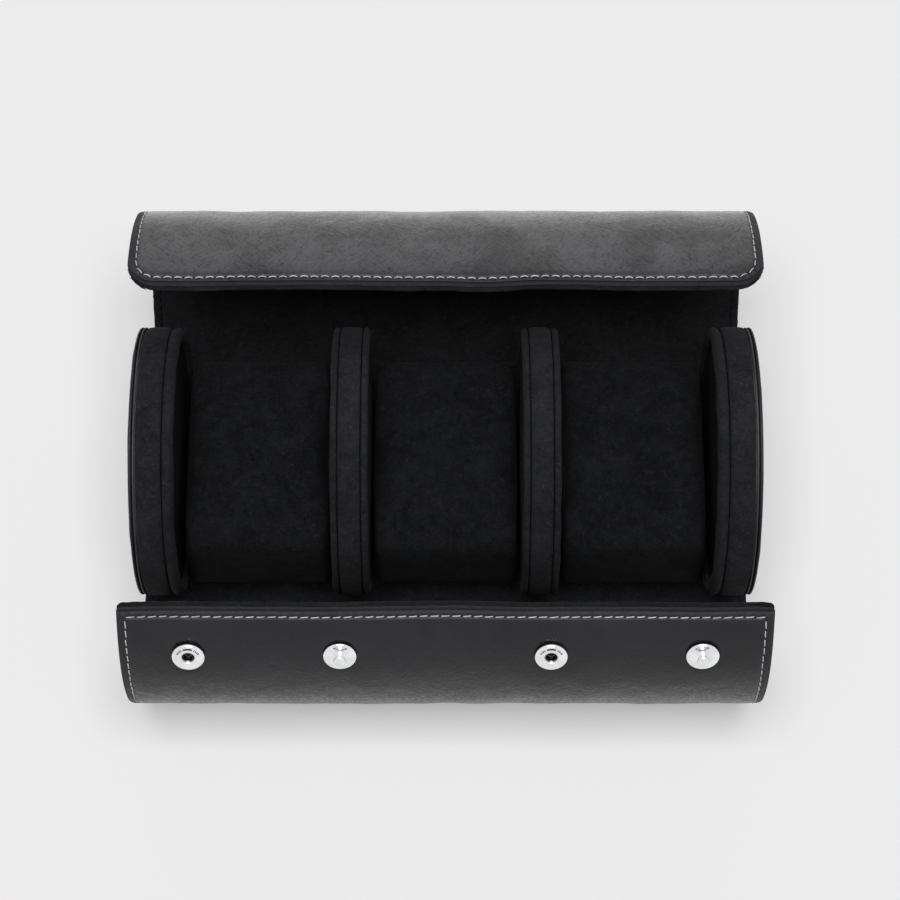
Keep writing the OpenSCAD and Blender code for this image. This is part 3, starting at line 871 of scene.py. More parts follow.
def press_lining(piece):
    """Sinks the seam into the suede, puffs its rim and lets it lie a little uneven."""
    co = points_of(piece) / MM
    x, u, z = co.T
    rim = edge_distance(x, u, LINING_CUT)
    inside = z < -(LEATHER + BOARD + LINING / 2)
    sink = LINING_SINK * bell(edge_distance(x, u, SEAM), LINING_GROOVE)
    sink -= LINING_PUFF * bell(rim - PUFF_AT, PUFF_REACH) * (1 + PUFF_VARIES * short_wave(x, u))
    lie = 0.6 * slow_wave(x + 31, u) + 0.5 * mid_wave(x, u + 8)
    sink += LINING_SWAY * (1 - np.exp(-rim / LINING_REACH)) * lie
    z = np.where(inside, z + sink, z)
    fuzz = RIM_FUZZ * noise_source.standard_normal(len(x)) * (rim < FUZZ_BAND)
    set_points(piece, np.column_stack([x + fuzz, u + fuzz, z]) * MM)


def press_strip(piece):
    """A folded strip is never quite even: its bead swells and thins along the edge."""
    co = points_of(piece) / MM
    x, u, z = co.T
    sway = STRIP_SHORT * short_wave(x, u) + STRIP_MID * mid_wave(x, u)
    on_bead = edge_distance(x, u, STRIP_CUT) < STRIP_BEAD
    shift = np.where(np.abs(x) > STRIP_CORNER, 0, sway) * on_bead * np.sign(u)
    set_points(piece, np.column_stack([x, u + shift, z + sway * STRIP_LIFT]) * MM)


PART_NODES = {
    "front": (("spine_leather", "front_leather"), ("spine_edge_strips", "front_edge_strip"),
              ("spine_lining", "front_lining")),
    "back": (("spine_leather", "back_leather"), ("spine_edge_strips", "back_edge_strips"),
             ("spine_lining", "back_lining")),
    "flap": (("back_leather", "flap_leather"), ("back_edge_strips", "flap_edge_strip"),
             ("back_lining", "flap_lining")),
}


def finish_sheet(sheet, part, press, cut, material, nodes):
    """Presses a flat sheet of the shell, rolls it into its place and bakes its transform into its points."""
    press(sheet)
    keep_cut(sheet, cut)
    roll_up(sheet)
    smooth(sheet, angle=50)
    give(sheet, material)
    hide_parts(*nodes)
    join_panel(sheet, part)


for part, (leather_nodes, strip_nodes, lining_nodes) in PART_NODES.items():
    skin = flat_sheet(part + "_outer_leather", part, 0.0, LEATHER - LEATHER_GAP, LEATHER_CUT,
                      step=0.8 if part == "flap" else 1.0, rim=0.62)
    if part == "front":
        for x in SOCKETS["front"]:
            punch(skin, x, FRONT_SNAP_AT, LEATHER_HOLE)
    leather = front_leather if part == "front" else back_leather
    finish_sheet(skin, part, press_leather, LEATHER_CUT, leather, leather_nodes)

    strip = flat_sheet(part + "_folded_strip", part, -LEATHER, BOARD, STRIP_CUT,
                       step=1.6, rim=0.56, border=6.4)
    finish_sheet(strip, part, press_strip, STRIP_CUT, strip_leather, strip_nodes)

    lining = flat_sheet(part + "_suede_lining", part, -LEATHER - BOARD, LINING, LINING_CUT,
                        step=1.5, rim=0.46)
    if part == "flap":
        for x in SOCKETS["flap"]:
            punch(lining, x, FLAP_SNAP_AT, LINING_HOLE)
    finish_sheet(lining, part, press_lining, LINING_CUT, lining_suede, lining_nodes)


# ---- Seams of the shell ----

SIDE_SEAM_GAP = 1.2
CORNER_STEPS = 12
SLOPE_REACH = 0.3
STITCH_RISE, STITCH_DIVE, HOLE_SINK = 0.32, 0.4, 0.24
INNER_LIFT, INNER_DIVE = -LEATHER - BOARD - LINING + 0.3, 0.3
# A stitch's body is even over most of its length, and its ends are blunt
BODY_CURVE, END_CURVE, TIP = 5, 0.62, 0.999
STITCH_STRETCH = (0.96, 1.03)
PLACE_WOBBLE, HEIGHT_WOBBLE, TURN_WOBBLE, RIM_WOBBLE = 0.04, 0.02, 0.02, 0.03
# Bow and slant of the stitches along the flap's edge, elsewhere, down the sides and along the lip
FLAP_ARCH, PLAIN_ARCH, SIDE_SLANT, LIP_SLANT, FLAP_SEAM_BAND = 0.4, 0.05, 0.08, 0.15, 6


def seam_line(points):
    """Even stitch places along a line: x, u and direction."""
    points = np.array(points)
    legs = np.hypot(*np.diff(points, axis=0).T)
    along = np.concatenate([[0], np.cumsum(legs)])
    count = int(round(along[-1] / STITCH_PITCH))
    at = (np.arange(count) + 0.5) * along[-1] / count
    x, u = (np.interp(at, along, line) for line in points.T)
    ahead, behind = at + SLOPE_REACH, at - SLOPE_REACH
    step_x, step_u = (np.interp(ahead, along, line) - np.interp(behind, along, line) for line in points.T)
    turn = np.arctan2(step_u, step_x)
    return np.column_stack([x, u, turn])


def shell_seams():
    """The seam along the lip, and the one down both sides and round the flap."""
    side = CASE_LENGTH / 2 - SEAM[0]
    lip, edge = LIP_AT - SEAM[2], FLAP_AT + SEAM[1]
    corner = FLAP_CORNER - SEAM[0]
    lip_line = seam_line([(-side, lip), (side, lip)])
    path = [(-side, lip - SIDE_SEAM_GAP)]
    for quarter in (0, 1):
        middle_x = (side - corner) * (1 if quarter else -1)
        for step in range(CORNER_STEPS + 1):
            angle = math.pi * (1 + 0.5 * quarter) + step / CORNER_STEPS * math.pi / 2
            path.append((middle_x + corner * math.cos(angle), edge + corner + corner * math.sin(angle)))
    path.append((side, lip - SIDE_SEAM_GAP))
    return lip_line, seam_line(path)


def stitch_master(name, length, radius):
    """One stitch of a few dozen faces, lying along X, with ends that dive into the leather."""
    bpy.ops.mesh.primitive_uv_sphere_add(segments=8, ring_count=6, radius=1, location=(0, 0, 0),
                                         rotation=(0, math.pi / 2, 0))
    master = just_made(name)
    settle(master)
    co = points_of(master)
    along = np.clip(co[:, 0], -1, 1)
    round_share = np.sqrt(np.clip(1 - along**2, 1e-9, 1))
    girth = radius * np.sqrt(share_of(1 - np.abs(along) ** BODY_CURVE)) / round_share
    girth = np.where(np.abs(along) > TIP, 0, girth)
    reach = np.sign(along) * np.abs(along) ** END_CURVE * length / 2
    set_points(master, np.column_stack([reach, co[:, 1] * girth, co[:, 2] * girth]))
    return master


def copies_of(name, master, placed):
    """One piece from copies of a master, each given by its own points in millimetres."""
    faces = [tuple(face.vertices) for face in master.data.polygons]
    count = len(master.data.vertices)
    polygons = [tuple(v + number * count for v in face) for number in range(len(placed)) for face in faces]
    mesh = bpy.data.meshes.new(name)
    mesh.from_pydata((np.concatenate(placed) * MM).tolist(), [], polygons)
    piece = bpy.data.objects.new(name, mesh)
    bpy.context.collection.objects.link(piece)
    return piece


def sew(name, master, places, lift, dive):
    """Copies a stitch to every place of a seam, as one flat piece."""
    base = points_of(master)
    rng = np.random.default_rng(len(places))
    share = base[:, 0] / np.abs(base[:, 0]).max()
    placed = []
    for x, u, turn in places:
        a = base[:, 0] * rng.uniform(*STITCH_STRETCH)
        b = base[:, 1] + seam_arch(u) * (0.5 - share**2) + seam_slant(u) * share
        b = b + rng.normal(0, PLACE_WOBBLE)
        c = base[:, 2] + lift - dive * share**4 + rng.normal(0, HEIGHT_WOBBLE)
        heading = turn + rng.normal(0, TURN_WOBBLE)
        px = x + a * math.cos(heading) - b * math.sin(heading)
        pu = u + a * math.sin(heading) + b * math.cos(heading)
        placed.append(np.column_stack([px, pu, c]))
    return copies_of(name, master, placed)


def drop(piece):
    """Throws away a master once its copies are made."""
    bpy.data.objects.remove(piece, do_unlink=True)


def part_of(places, part):
    low, high = PART_RANGE[part]
    return places[(places[:, 1] >= low) & (places[:, 1] < high)]


def seam_arch(u):
    """Stitches bow along the flap's edge and lie straight elsewhere."""
    return FLAP_ARCH if u < FLAP_AT + FLAP_SEAM_BAND else PLAIN_ARCH


def seam_slant(u):
    """Stitches slant along the lip, a little down the sides, and not along the flap's edge."""
    if u > LIP_AT - SEAM[2] - 1:
        return LIP_SLANT
    return 0.0 if u < FLAP_AT + FLAP_SEAM_BAND else SIDE_SLANT


def between(line):
    """The places halfway between the stitches of a seam."""
    middle = line.copy()
    middle[:-1] = (line[:-1] + line[1:]) / 2
    return middle[:-1]


lip_seam, side_seam = shell_seams()
seam_places = np.vstack([side_seam, lip_seam])
gap_places = np.vstack([between(side_seam), between(lip_seam)])
stitch = stitch_master("stitch master", STITCH_LENGTH, radius=0.23)
# Painted shade: dark blobs sunk between the stitches stand for the shade in the needle holes
hole = stitch_master("needle hole shadow master", length=0.95, radius=0.42)
# Ending, master, places, height over the flat outer face, dive of the ends, material and slot
SEAM_ROWS = (
    ("_seam", stitch, seam_places, STITCH_RISE - SEAM_SINK, STITCH_DIVE, white_thread, "outer_leather"),
    ("_needle_holes", hole, gap_places, -SEAM_SINK - HOLE_SINK, 0.0, needle_shade_material, "outer_leather"),
    ("_inner_seam", stitch, seam_places, INNER_LIFT, -INNER_DIVE, black_thread, "suede"),
)
for part in PART_RANGE:
    for ending, master, places, lift, dive, material, slot_name in SEAM_ROWS:
        row = sew(part + ending, master, part_of(places, part), lift, dive)
        roll_up(row)
        smooth(row, angle=60)
        give(row, material)
        join_panel(row, part)
drop(stitch)
drop(hole)


# ---- Turning round pieces ----

def turned(name, profile, segments, closed=False):
    """Turns a profile about Z: a ring is extruded and resized from point to point.

    The profile is a list of (radius, height) in millimetres.  Its ends are capped, or joined
    to each other when it is closed.
    """
    radius, height = profile[0]
    bpy.ops.mesh.primitive_circle_add(
        vertices=segments, radius=radius * MM, fill_type="NOTHING", location=(0, 0, height * MM)
    )
    piece = just_made(name)
    settle(piece)
    bpy.ops.object.mode_set(mode="EDIT")
    bpy.ops.mesh.select_mode(type="EDGE")
    bpy.ops.mesh.select_all(action="SELECT")
    if not closed:
        bpy.ops.mesh.edge_face_add()
    steps = profile + profile[:1] if closed else profile
    for (radius, height), (next_radius, next_height) in zip(steps, steps[1:]):
        rise = (next_height - height) * MM
        bpy.ops.mesh.extrude_region_move(TRANSFORM_OT_translate={"value": (0, 0, rise)})
        share = next_radius / radius
        bpy.ops.transform.resize(value=(share, share, 1), center_override=(0, 0, next_height * MM))
    bpy.ops.object.mode_set(mode="OBJECT")
    face_outwards(piece)
    return piece


def place(piece, matrix):
    piece.data.transform(matrix)
    piece.data.update()


def joined(name, pieces):
    """Joins modelled pieces into one and gives it a name."""
    pick(pieces[0])
    for other in pieces[1:]:
        other.select_set(True)
    bpy.ops.object.join()
    pieces[0].name = name
    pieces[0].data.name = name
    return pieces[0]


# ---- Padded discs ----

def disc_matrix(x, side):
    """Turns a piece made about Z so that its top faces along X, on the given side."""
    base = Matrix.Translation((x * MM, 0, AXIS_HEIGHT * MM))
    return base @ Matrix.Rotation(side * math.pi / 2, 4, "Y")


RIM_WAVELENGTH, FACE_WAVELENGTH, RIM_DRIFT = 24, 15, 1.7
RIM_FROM, SEAM_FROM, FACE_TO = 40, 44, 46.5
PUCKER_PITCH, PUCKER_MEAN, PUCKER_WAVE = 3.1, 0.75, 0.25


def polar(co):
    """Angle round a disc's axis and distance from it."""
    return np.arctan2(co[:, 1], co[:, 0]), np.hypot(co[:, 0], co[:, 1])


def sway_disc(piece, seed, radial, axial):
    """Lets stuffed suede swell and sink a little, round its rim and over its face."""
    rim_wave, face_wave = waves(seed, RIM_WAVELENGTH), waves(seed + 50, FACE_WAVELENGTH)
    co = points_of(piece) / MM
    angle, radius = polar(co)
    arc = np.cos(angle) * DISC_RADIUS, np.sin(angle) * DISC_RADIUS
    swell = radial * rim_wave(arc[0] + co[:, 2] * RIM_DRIFT, arc[1]) * (radius > RIM_FROM)
    share = 1 + swell / np.maximum(radius, 1)
    lift = axial * face_wave(co[:, 0], co[:, 1]) * (radius < FACE_TO)
    set_points(piece, np.column_stack([co[:, 0] * share, co[:, 1] * share, co[:, 2] + lift]) * MM)


def pucker(piece, height, reach, depth):
    """Draws the rim in at every stitch of a seam that runs round it."""
    co = points_of(piece) / MM
    angle, radius = polar(co)
    count = round(2 * math.pi * DISC_RADIUS / PUCKER_PITCH)
    near = bell(co[:, 2] - height, reach) * (radius > SEAM_FROM)
    pull = depth * near * (PUCKER_MEAN - PUCKER_WAVE * np.cos(count * angle))
    share = 1 - pull / np.maximum(radius, 1)
    set_points(piece, np.column_stack([co[:, 0] * share, co[:, 1] * share, co[:, 2]]) * MM)


def round_the_rim(name, master, count, radius, height, upright):
    """Copies a stitch round a disc, on its rim or, when upright, on its face."""
    base = points_of(master)
    rng = np.random.default_rng(count)
    placed = []
    for number in range(count):
        angle = 2 * math.pi * number / count
        a, b, c = base[:, 0], base[:, 1] + rng.normal(0, RIM_WOBBLE), base[:, 2]
        out, up = (b, c) if upright else (c, b)
        x = (radius + out) * math.cos(angle) - a * math.sin(angle)
        y = (radius + out) * math.sin(angle) + a * math.cos(angle)
        placed.append(np.column_stack([x, y, height + up]))
    piece = copies_of(name, master, placed)
    face_outwards(piece)
    return piece


# Profiles as (radius, height above the cap's inner face or the divider's middle)
CAP_LEATHER = [(0.5, 14.1), (46.0, 14.1), (46.9, 14.2), (47.3, 14.5), (47.42, 14.85), (47.3, 15.15),
               (46.9, 15.36), (46.2, 15.42), (45.5, 15.36), (44.8, 15.12), (44.35, 14.98),
               (43.9, 15.1), (43.2, 15.36), (42.0, 15.5), (38.0, 15.58), (28.0, 15.62), (14.0, 15.64),
               (0.5, 15.64)]
CAP_STRIP = [(44.2, 13.12), (46.7, 13.12), (47.12, 13.22), (47.36, 13.45), (47.4, 13.65), (47.3, 13.85),
             (46.95, 14.0), (46.4, 14.04), (44.2, 14.04)]
CAP_BAND = [(46.2, 4.2), (46.75, 4.25), (47.15, 4.5), (47.4, 5.0), (47.52, 6.0), (47.58, 7.4),
            (47.6, 8.8), (47.58, 10.2), (47.52, 11.4), (47.4, 12.3), (47.1, 12.82), (46.7, 13.02),
            (46.2, 13.05), (45.6, 13.05), (45.6, 4.2)]
CAP_FACE = [(0.5, 2.1), (12.0, 2.14), (24.0, 2.22), (34.0, 2.34), (39.0, 2.5), (41.0, 2.66), (41.9, 2.72),
            (42.3, 2.45), (42.45, 1.9), (42.7, 1.2), (43.3, 0.55), (44.2, 0.15), (45.0, 0.05),
            (45.8, 0.2), (46.6, 0.62), (47.15, 1.25), (47.42, 2.0), (47.45, 2.7), (47.3, 3.3),
            (46.98, 3.75), (46.6, 4.0), (46.1, 4.1), (0.5, 4.1)]
DIVIDER_BAND = [(46.2, -3.92), (46.8, -3.85), (47.2, -3.55), (47.42, -3.0), (47.52, -2.0), (47.56, 0.0),
                (47.52, 2.0), (47.42, 3.0), (47.2, 3.55), (46.8, 3.85), (46.2, 3.92), (45.6, 3.92),
                (45.6, -3.92)]
DIVIDER_FACE = [(0.5, 6.62), (20.0, 6.6), (34.0, 6.52), (41.0, 6.4), (43.0, 6.28), (43.8, 6.22),
                (44.3, 6.34), (45.0, 6.48), (45.8, 6.46), (46.5, 6.3), (47.05, 5.95), (47.36, 5.45),
                (47.42, 5.0), (47.32, 4.6), (47.0, 4.25), (46.6, 4.1), (46.1, 4.04), (0.5, 4.04)]
DISC_SEGMENTS = 300
DISC_STITCHES, CAP_STITCHES = 96, 76
RIM_SEAM_RADIUS, CAP_SEAM_RADIUS = 46.72, 44.35
CAP_RIM_SEAM, CAP_FACE_SEAM, DIVIDER_SEAM = 4.12, 15.16, 3.98
# Radius inside which a disc face gets the darker suede of painted shade
SHADED_FACE_RADIUS = 42.6

rim_stitch = stitch_master("rim stitch master", length=3.4, radius=0.2)
face_stitch = stitch_master("face stitch master", length=2.9, radius=0.29)


def finish_disc_piece(piece, x, side, material, slot_name, *nodes):
    """Stands a piece of a disc up in its place.  The sunk field of a suede face gets a darker suede: painted
    shade of its recess.
    """
    radius = polar(face_middles(piece))[1]
    place(piece, disc_matrix(x, side))
    smooth(piece, angle=60)
    give(piece, material)
    # Painted shade: the sunk middle of a face takes the darker suede
    if piece.name.endswith("_face"):
        piece.data.materials.append(disc_face_shade_suede)
        piece.data.polygons.foreach_set("material_index", (radius < SHADED_FACE_RADIUS).astype(int))
    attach(piece, "tray")
    if nodes:
        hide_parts(*nodes)


def disc_layer(name, profile, ring, seed, sway, puckers):
    """Turns one layer of a disc, lets it sway and draws it in at its seams."""
    layer = turned(name, profile, DISC_SEGMENTS, ring)
    sway_disc(layer, seed, *sway)
    for height, reach, depth in puckers:
        pucker(layer, height, reach, depth)
    return layer


# Name, profile, whether it is a ring, seed, sway round the rim and over the face, puckers as
# (height, reach, depth), material, slot and the solid that it stands for
CAP_LAYERS = (
    ("_end_cap_leather", CAP_LEATHER, False, 0, (0.04, 0.12), (), cap_leather, "outer_leather",
     "_end_leather"),
    ("_end_cap_strip", CAP_STRIP, True, 2, (0.07, 0.0), (), cap_edge_leather, "edge_leather", "_end_trim"),
    ("_end_suede_band", CAP_BAND, True, 4, (0.12, 0.0), ((4.2, 1.0, 0.3),), disc_suede, "suede",
     "_end_band"),
    ("_end_suede_face", CAP_FACE, False, 6, (0.16, 0.2), ((4.0, 1.3, 0.35),), disc_suede, "suede",
     "_end_face"),
)
DIVIDER_PUCKERS = (3.95, 0.9, 0.28), (-3.95, 0.9, 0.28)

for side, word in ((-1, "left"), (1, "right")):
    inner_x = side * END_INNER
    disc_seed = 20 + side
    for ending, profile, ring, seed, sway, puckers, material, slot_name, solid in CAP_LAYERS:
        layer = disc_layer(word + ending, profile, ring, disc_seed + seed, sway, puckers)
        finish_disc_piece(layer, inner_x, side, material, slot_name, word + solid)
    seam = round_the_rim(word + "_end_rim_seam", rim_stitch, DISC_STITCHES, RIM_SEAM_RADIUS, CAP_RIM_SEAM,
                         False)
    finish_disc_piece(seam, inner_x, side, black_thread, "suede")
    seam = round_the_rim(word + "_end_cap_seam", face_stitch, CAP_STITCHES, CAP_SEAM_RADIUS, CAP_FACE_SEAM,
                         True)
    finish_disc_piece(seam, inner_x, side, white_thread, "outer_leather")

    middle = side * DIVIDER_MIDDLE
    band = disc_layer(word + "_divider_suede_band", DIVIDER_BAND, True, disc_seed + 8, (0.12, 0.0),
                      DIVIDER_PUCKERS)
    finish_disc_piece(band, middle, side, disc_suede, "suede", word + "_divider_band")
    for way, end in ((-1, "outer"), (1, "inner")):
        name = "{}_divider_{}".format(word, end)
        face = disc_layer(name + "_face", DIVIDER_FACE, False, disc_seed + 10 + way, (0.14, 0.12),
                          ((4.1, 1.1, 0.3),))
        finish_disc_piece(face, middle, way, disc_suede, "suede", word + "_divider_faces")
        seam = round_the_rim(name + "_seam", rim_stitch, DISC_STITCHES, RIM_SEAM_RADIUS, DIVIDER_SEAM,
                             False)
        finish_disc_piece(seam, middle, way, black_thread, "suede")
drop(rim_stitch)
drop(face_stitch)


# ---- Press studs ----

SOCKET = [(0.4, -1.9), (3.35, -1.9), (3.35, -0.1), (5.2, -0.1), (5.5, 0.02), (5.65, 0.25), (5.65, 0.55),
          (5.52, 0.92), (5.2, 1.22), (4.85, 1.36), (4.6, 1.38), (3.1, 1.34), (2.75, 1.3), (2.48, 1.2),
          (2.3, 1.02), (2.25, 0.86), (2.4, 0.72), (2.62, 0.6), (2.62, 0.38), (2.38, 0.26), (2.26, 0.08),
          (2.34, -0.12), (2.6, -0.24), (2.6, -0.85), (2.3, -1.02), (1.5, -1.06), (1.3, -1.02),
          (1.1, -1.1), (1.0, -1.3), (0.98, -1.62), (0.4, -1.66)]
STUD = [(0.4, -1.9), (2.15, -1.9), (2.15, -0.1), (5.2, -0.1), (5.52, 0.0), (5.65, 0.18), (5.62, 0.42),
        (5.42, 0.62), (5.1, 0.7), (4.75, 0.68), (4.45, 0.58), (3.6, 0.52), (2.7, 0.56), (2.1, 0.7),
        (1.7, 0.95), (1.5, 1.3), (1.48, 1.75), (1.62, 2.1), (1.92, 2.38), (2.08, 2.65), (2.06, 2.92),
        (1.88, 3.18), (1.58, 3.34), (1.25, 3.37), (1.0, 3.28), (0.4, 3.22)]

# Angle from the middle of the arc and width of each bar stamped on a socket's ring
MARK_BARS = ((0, 1.5), (-13, 1.3), (13, 1.3), (33, 0.34), (-33, 0.34), (42, 0.5), (-42, 0.5), (52, 0.3),
             (-52, 0.3), (60, 0.42), (-60, 0.42))
MARK_RADIUS, MARK_LEVEL, MARK_LENGTH, MARK_DEPTH, MARK_ROUNDING = 4.05, 1.345, 0.72, 0.12, 0.04
BORE_RADIUS, BORE_MOUTH, BORE_FADE = 2.7, 0.6, 0.3
STUD_SEGMENTS, STUD_EDGE_ANGLE = 64, 38


def socket_marks(matrix):
    """Short blackened bars stamped over the upper arc of a socket's ring: plain, and no lettering."""
    bars = []
    for angle, wide in MARK_BARS:
        bpy.ops.mesh.primitive_cube_add(size=1, location=(MARK_RADIUS * MM, 0, MARK_LEVEL * MM))
        bar = just_made("socket mark")
        bar.scale = (MARK_LENGTH * MM, wide * MM, MARK_DEPTH * MM)
        settle(bar)
        soften(bar, MARK_ROUNDING)
        place(bar, matrix @ Matrix.Rotation(math.radians(90 + angle), 4, "Z"))
        bars.append(bar)
    return bars


def paint_bore_shade(socket):
    """Marks the inside of a socket's mouth for painted shade: dark grey, like the shadow down the hole."""
    x, y, z = (points_of(socket) / MM).T
    depth = share_of((BORE_MOUTH - z) / BORE_FADE) * (np.hypot(x, y) < BORE_RADIUS)
    mark = socket.data.attributes.new("bore", "FLOAT", "POINT")
    mark.data.foreach_set("value", depth.astype(np.float32))


def snap_matrix(x, panel):
    """Frame of a press stud on the open case: Z points away from the face that it sits on."""
    if panel == "front":
        at, face, way = FRONT_SNAP_AT, 0.0, 1
    else:
        at, face, way = FLAP_SNAP_AT, -LEATHER - BOARD - LINING, -1
    y, z = open_section(np.array([at] * 2), np.array([face, face + way]))
    out = Vector((0, y[1] - y[0], z[1] - z[0])).normalized()
    along = Vector((way, 0, 0))
    across = out.cross(along)
    matrix = Matrix((along, across, out)).transposed().to_4x4()
    matrix.translation = Vector((x, y[0], z[0])) * MM
    return matrix


def press_stud(kind, panel, spots):
    """Copies of a socket or a stud on a panel, as one piece."""
    copies, marks = [], []
    body_name = "front_panel" if panel == "front" else "closing_flap"
    for x in spots:
        if kind == "sockets":
            body = turned("socket", SOCKET, STUD_SEGMENTS)
            paint_bore_shade(body)
            marks += socket_marks(snap_matrix(x, panel))
        else:
            body = turned("stud", STUD, STUD_SEGMENTS)
        place(body, snap_matrix(x, panel))
        copies.append(body)
    piece = joined("{}_snap_{}_bright".format(panel, kind), copies)
    smooth(piece, STUD_EDGE_ANGLE)
    give(piece, chrome)
    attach(piece, body_name)
    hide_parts("{}_snap_{}".format(panel, kind))
    if marks:
        stamping = joined(panel + "_socket_stamping", marks)
        smooth(stamping, STUD_EDGE_ANGLE)
        give(stamping, stamped)
        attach(stamping, body_name)


for panel, mate in (("front", "flap"), ("flap", "front")):
    press_stud("sockets", panel, SOCKETS[panel])
    press_stud("studs", panel, SOCKETS[mate])


# ---- Cushions ----

CUSHION_FRONT = 38.0
CUSHION_BACK = 41.0
CUSHION_TOP = 8.0
TOP_SQUARENESS, TROUGH_SQUARENESS = 8.0, 2.8
TROUGH_RADIUS = 47.1
CUSHION_SHOULDER = 4
CUSHION_SEAM_INSET = 1.9
SLACK = 2.4
SWELL_LIMIT = 4.2
VOXEL = 3.2
CLOTH_FRAMES, CLOTH_QUALITY, CLOTH_MASS, CLOTH_PRESSURE = 20, 6, 0.3, 4
REFINEMENTS = 2
# How hard the walls of a bay flatten a cushion's sides, and how its top is dented
SIDE_GAP, SIDE_PRESS = 0.1, 1.25
BROAD_DENT, BROAD_WAVELENGTH, SMALL_DENT, SMALL_WAVELENGTH = 0.5, 30, 0.14, 11
CUSHION_SEAM_SINK, CUSHION_SEAM_HALF = 0.6, 0.55


def cushion_outline(inset, count=72):
    """Section of a cushion about the discs' axis: a full oval that lies in the trough."""
    tall = (CUSHION_TOP + TROUGH_RADIUS) / 2 - inset / 2
    middle = (CUSHION_TOP - TROUGH_RADIUS) / 2
    points = []
    for number in range(count):
        angle = 2 * math.pi * number / count
        y, z = math.cos(angle), math.sin(angle)
        half = (CUSHION_BACK if y > 0 else CUSHION_FRONT) - inset / 2
        squareness = TOP_SQUARENESS if z > 0 else TROUGH_SQUARENESS
        reach = (abs(y / half) ** squareness + abs(z / tall) ** squareness) ** (-1 / squareness)
        y, z = y * reach, z * reach + middle
        share = min(1.0, (TROUGH_RADIUS - inset) / math.hypot(y, z))
        points.append((y * share, z * share))
    return points


def cushion_block(name, middle):
    """The cushion's cover as sewn, before it is stuffed: a round drawn into its section and pulled long."""
    outline = cushion_outline(SLACK)
    width = CUSHION_WIDTH - 2 * SLACK
    start_x = (middle - width / 2) * MM
    bpy.ops.mesh.primitive_circle_add(vertices=len(outline), radius=0.03, fill_type="NGON",
                                      location=(start_x, 0, AXIS_HEIGHT * MM), rotation=(0, math.pi / 2, 0))
    block = just_made(name)
    settle(block)
    co = points_of(block)
    angle = np.arctan2(co[:, 2] - AXIS_HEIGHT * MM, co[:, 1])
    number = np.rint(angle / (2 * math.pi) * len(outline)).astype(int) % len(outline)
    section = np.array(outline)[number]
    set_points(block, np.column_stack([co[:, 0], section[:, 0] * MM, (section[:, 1] + AXIS_HEIGHT) * MM]))
    bpy.ops.object.mode_set(mode="EDIT")
    bpy.ops.mesh.select_all(action="SELECT")
    bpy.ops.mesh.extrude_region_move(TRANSFORM_OT_translate={"value": (width * MM, 0, 0)})
    bpy.ops.object.mode_set(mode="OBJECT")
    face_outwards(block)
    return block


def stuff(cushion):
    """Remeshes the cover evenly and lets cloth under pressure swell it."""
    pick(cushion)
    remesh = cushion.modifiers.new("even cloth", "REMESH")
    remesh.mode = "VOXEL"
    remesh.voxel_size = VOXEL * MM
    finish_modifiers(cushion)
    start = points_of(cushion)
    cloth = cushion.modifiers.new("stuffing", "CLOTH")
    cloth.settings.quality = CLOTH_QUALITY
    cloth.settings.mass = CLOTH_MASS
    cloth.settings.use_pressure = True
    cloth.settings.uniform_pressure_force = CLOTH_PRESSURE
    cloth.settings.effector_weights.gravity = 0
    for number in range(1, CLOTH_FRAMES + 1):
        bpy.context.scene.frame_set(number)
    view = cushion.evaluated_get(bpy.context.evaluated_depsgraph_get())
    swollen = np.array([v.co for v in view.data.vertices])
    cushion.modifiers.remove(cloth)
    bpy.context.scene.frame_set(1)
    moved = swollen - start
    length = np.maximum(np.linalg.norm(moved, axis=1, keepdims=True), 1e-9)
    start = start + moved * np.minimum(1, SWELL_LIMIT * MM / length)
    set_points(cushion, start)
    for _ in range(REFINEMENTS):
        finer = cushion.modifiers.new("finer", "SUBSURF")
        finer.levels = 1
        finer.render_levels = 1
        finish_modifiers(cushion)


def seat_cushion(cushion, middle, seed):
    """Keeps a stuffed cushion inside its bay, sinks its side seams and dents its top a little."""
    co = points_of(cushion) / MM
    x, y, z = co[:, 0] - middle, co[:, 1], co[:, 2] - AXIS_HEIGHT
    limit = CUSHION_WIDTH / 2 - SIDE_GAP
    x = limit * np.tanh(x / limit * SIDE_PRESS) / math.tanh(SIDE_PRESS)
    x = np.clip(x, -limit, limit)
    radius = np.hypot(y, z)
    share = np.minimum(1, TROUGH_RADIUS / np.maximum(radius, 1))
    y, z = y * share, z * share
    reach = np.where(y > 0, CUSHION_BACK, CUSHION_FRONT)
    flat = reach - CUSHION_SHOULDER
    over = np.clip((np.abs(y) - flat) / CUSHION_SHOULDER, 0, 4)
    y = np.where(over > 0, np.sign(y) * (flat + CUSHION_SHOULDER * np.tanh(over)), y)
    dent = waves(seed, BROAD_WAVELENGTH)(x + y * 0.3, y) * BROAD_DENT
    dent = dent + waves(seed + 1, SMALL_WAVELENGTH)(x, y) * SMALL_DENT
    z = z + dent * (z > 0)
    seam_at = limit - CUSHION_SEAM_INSET
    sink = CUSHION_SEAM_SINK * bell(np.abs(x) - seam_at, CUSHION_SEAM_HALF)
    radius = np.maximum(np.hypot(y, z), 1)
    y, z = y * (1 - sink / radius), z * (1 - sink / radius)
    set_points(cushion, np.column_stack([x + middle, y, z + AXIS_HEIGHT]) * MM)


for word, middle, seed in (("left", -BAY_MIDDLE, 71), ("middle", 0.0, 75), ("right", BAY_MIDDLE, 79)):
    cushion = cushion_block(word + "_suede_cushion", middle)
    stuff(cushion)
    seat_cushion(cushion, middle, seed)
    smooth(cushion, angle=80)
    give(cushion, cushion_shade_suede)
    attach(cushion, word + "_cushion")
    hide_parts(word + "_cushion_cover", word + "_cushion_foam")


# ---- Pad under the discs, and what stays hidden inside ----

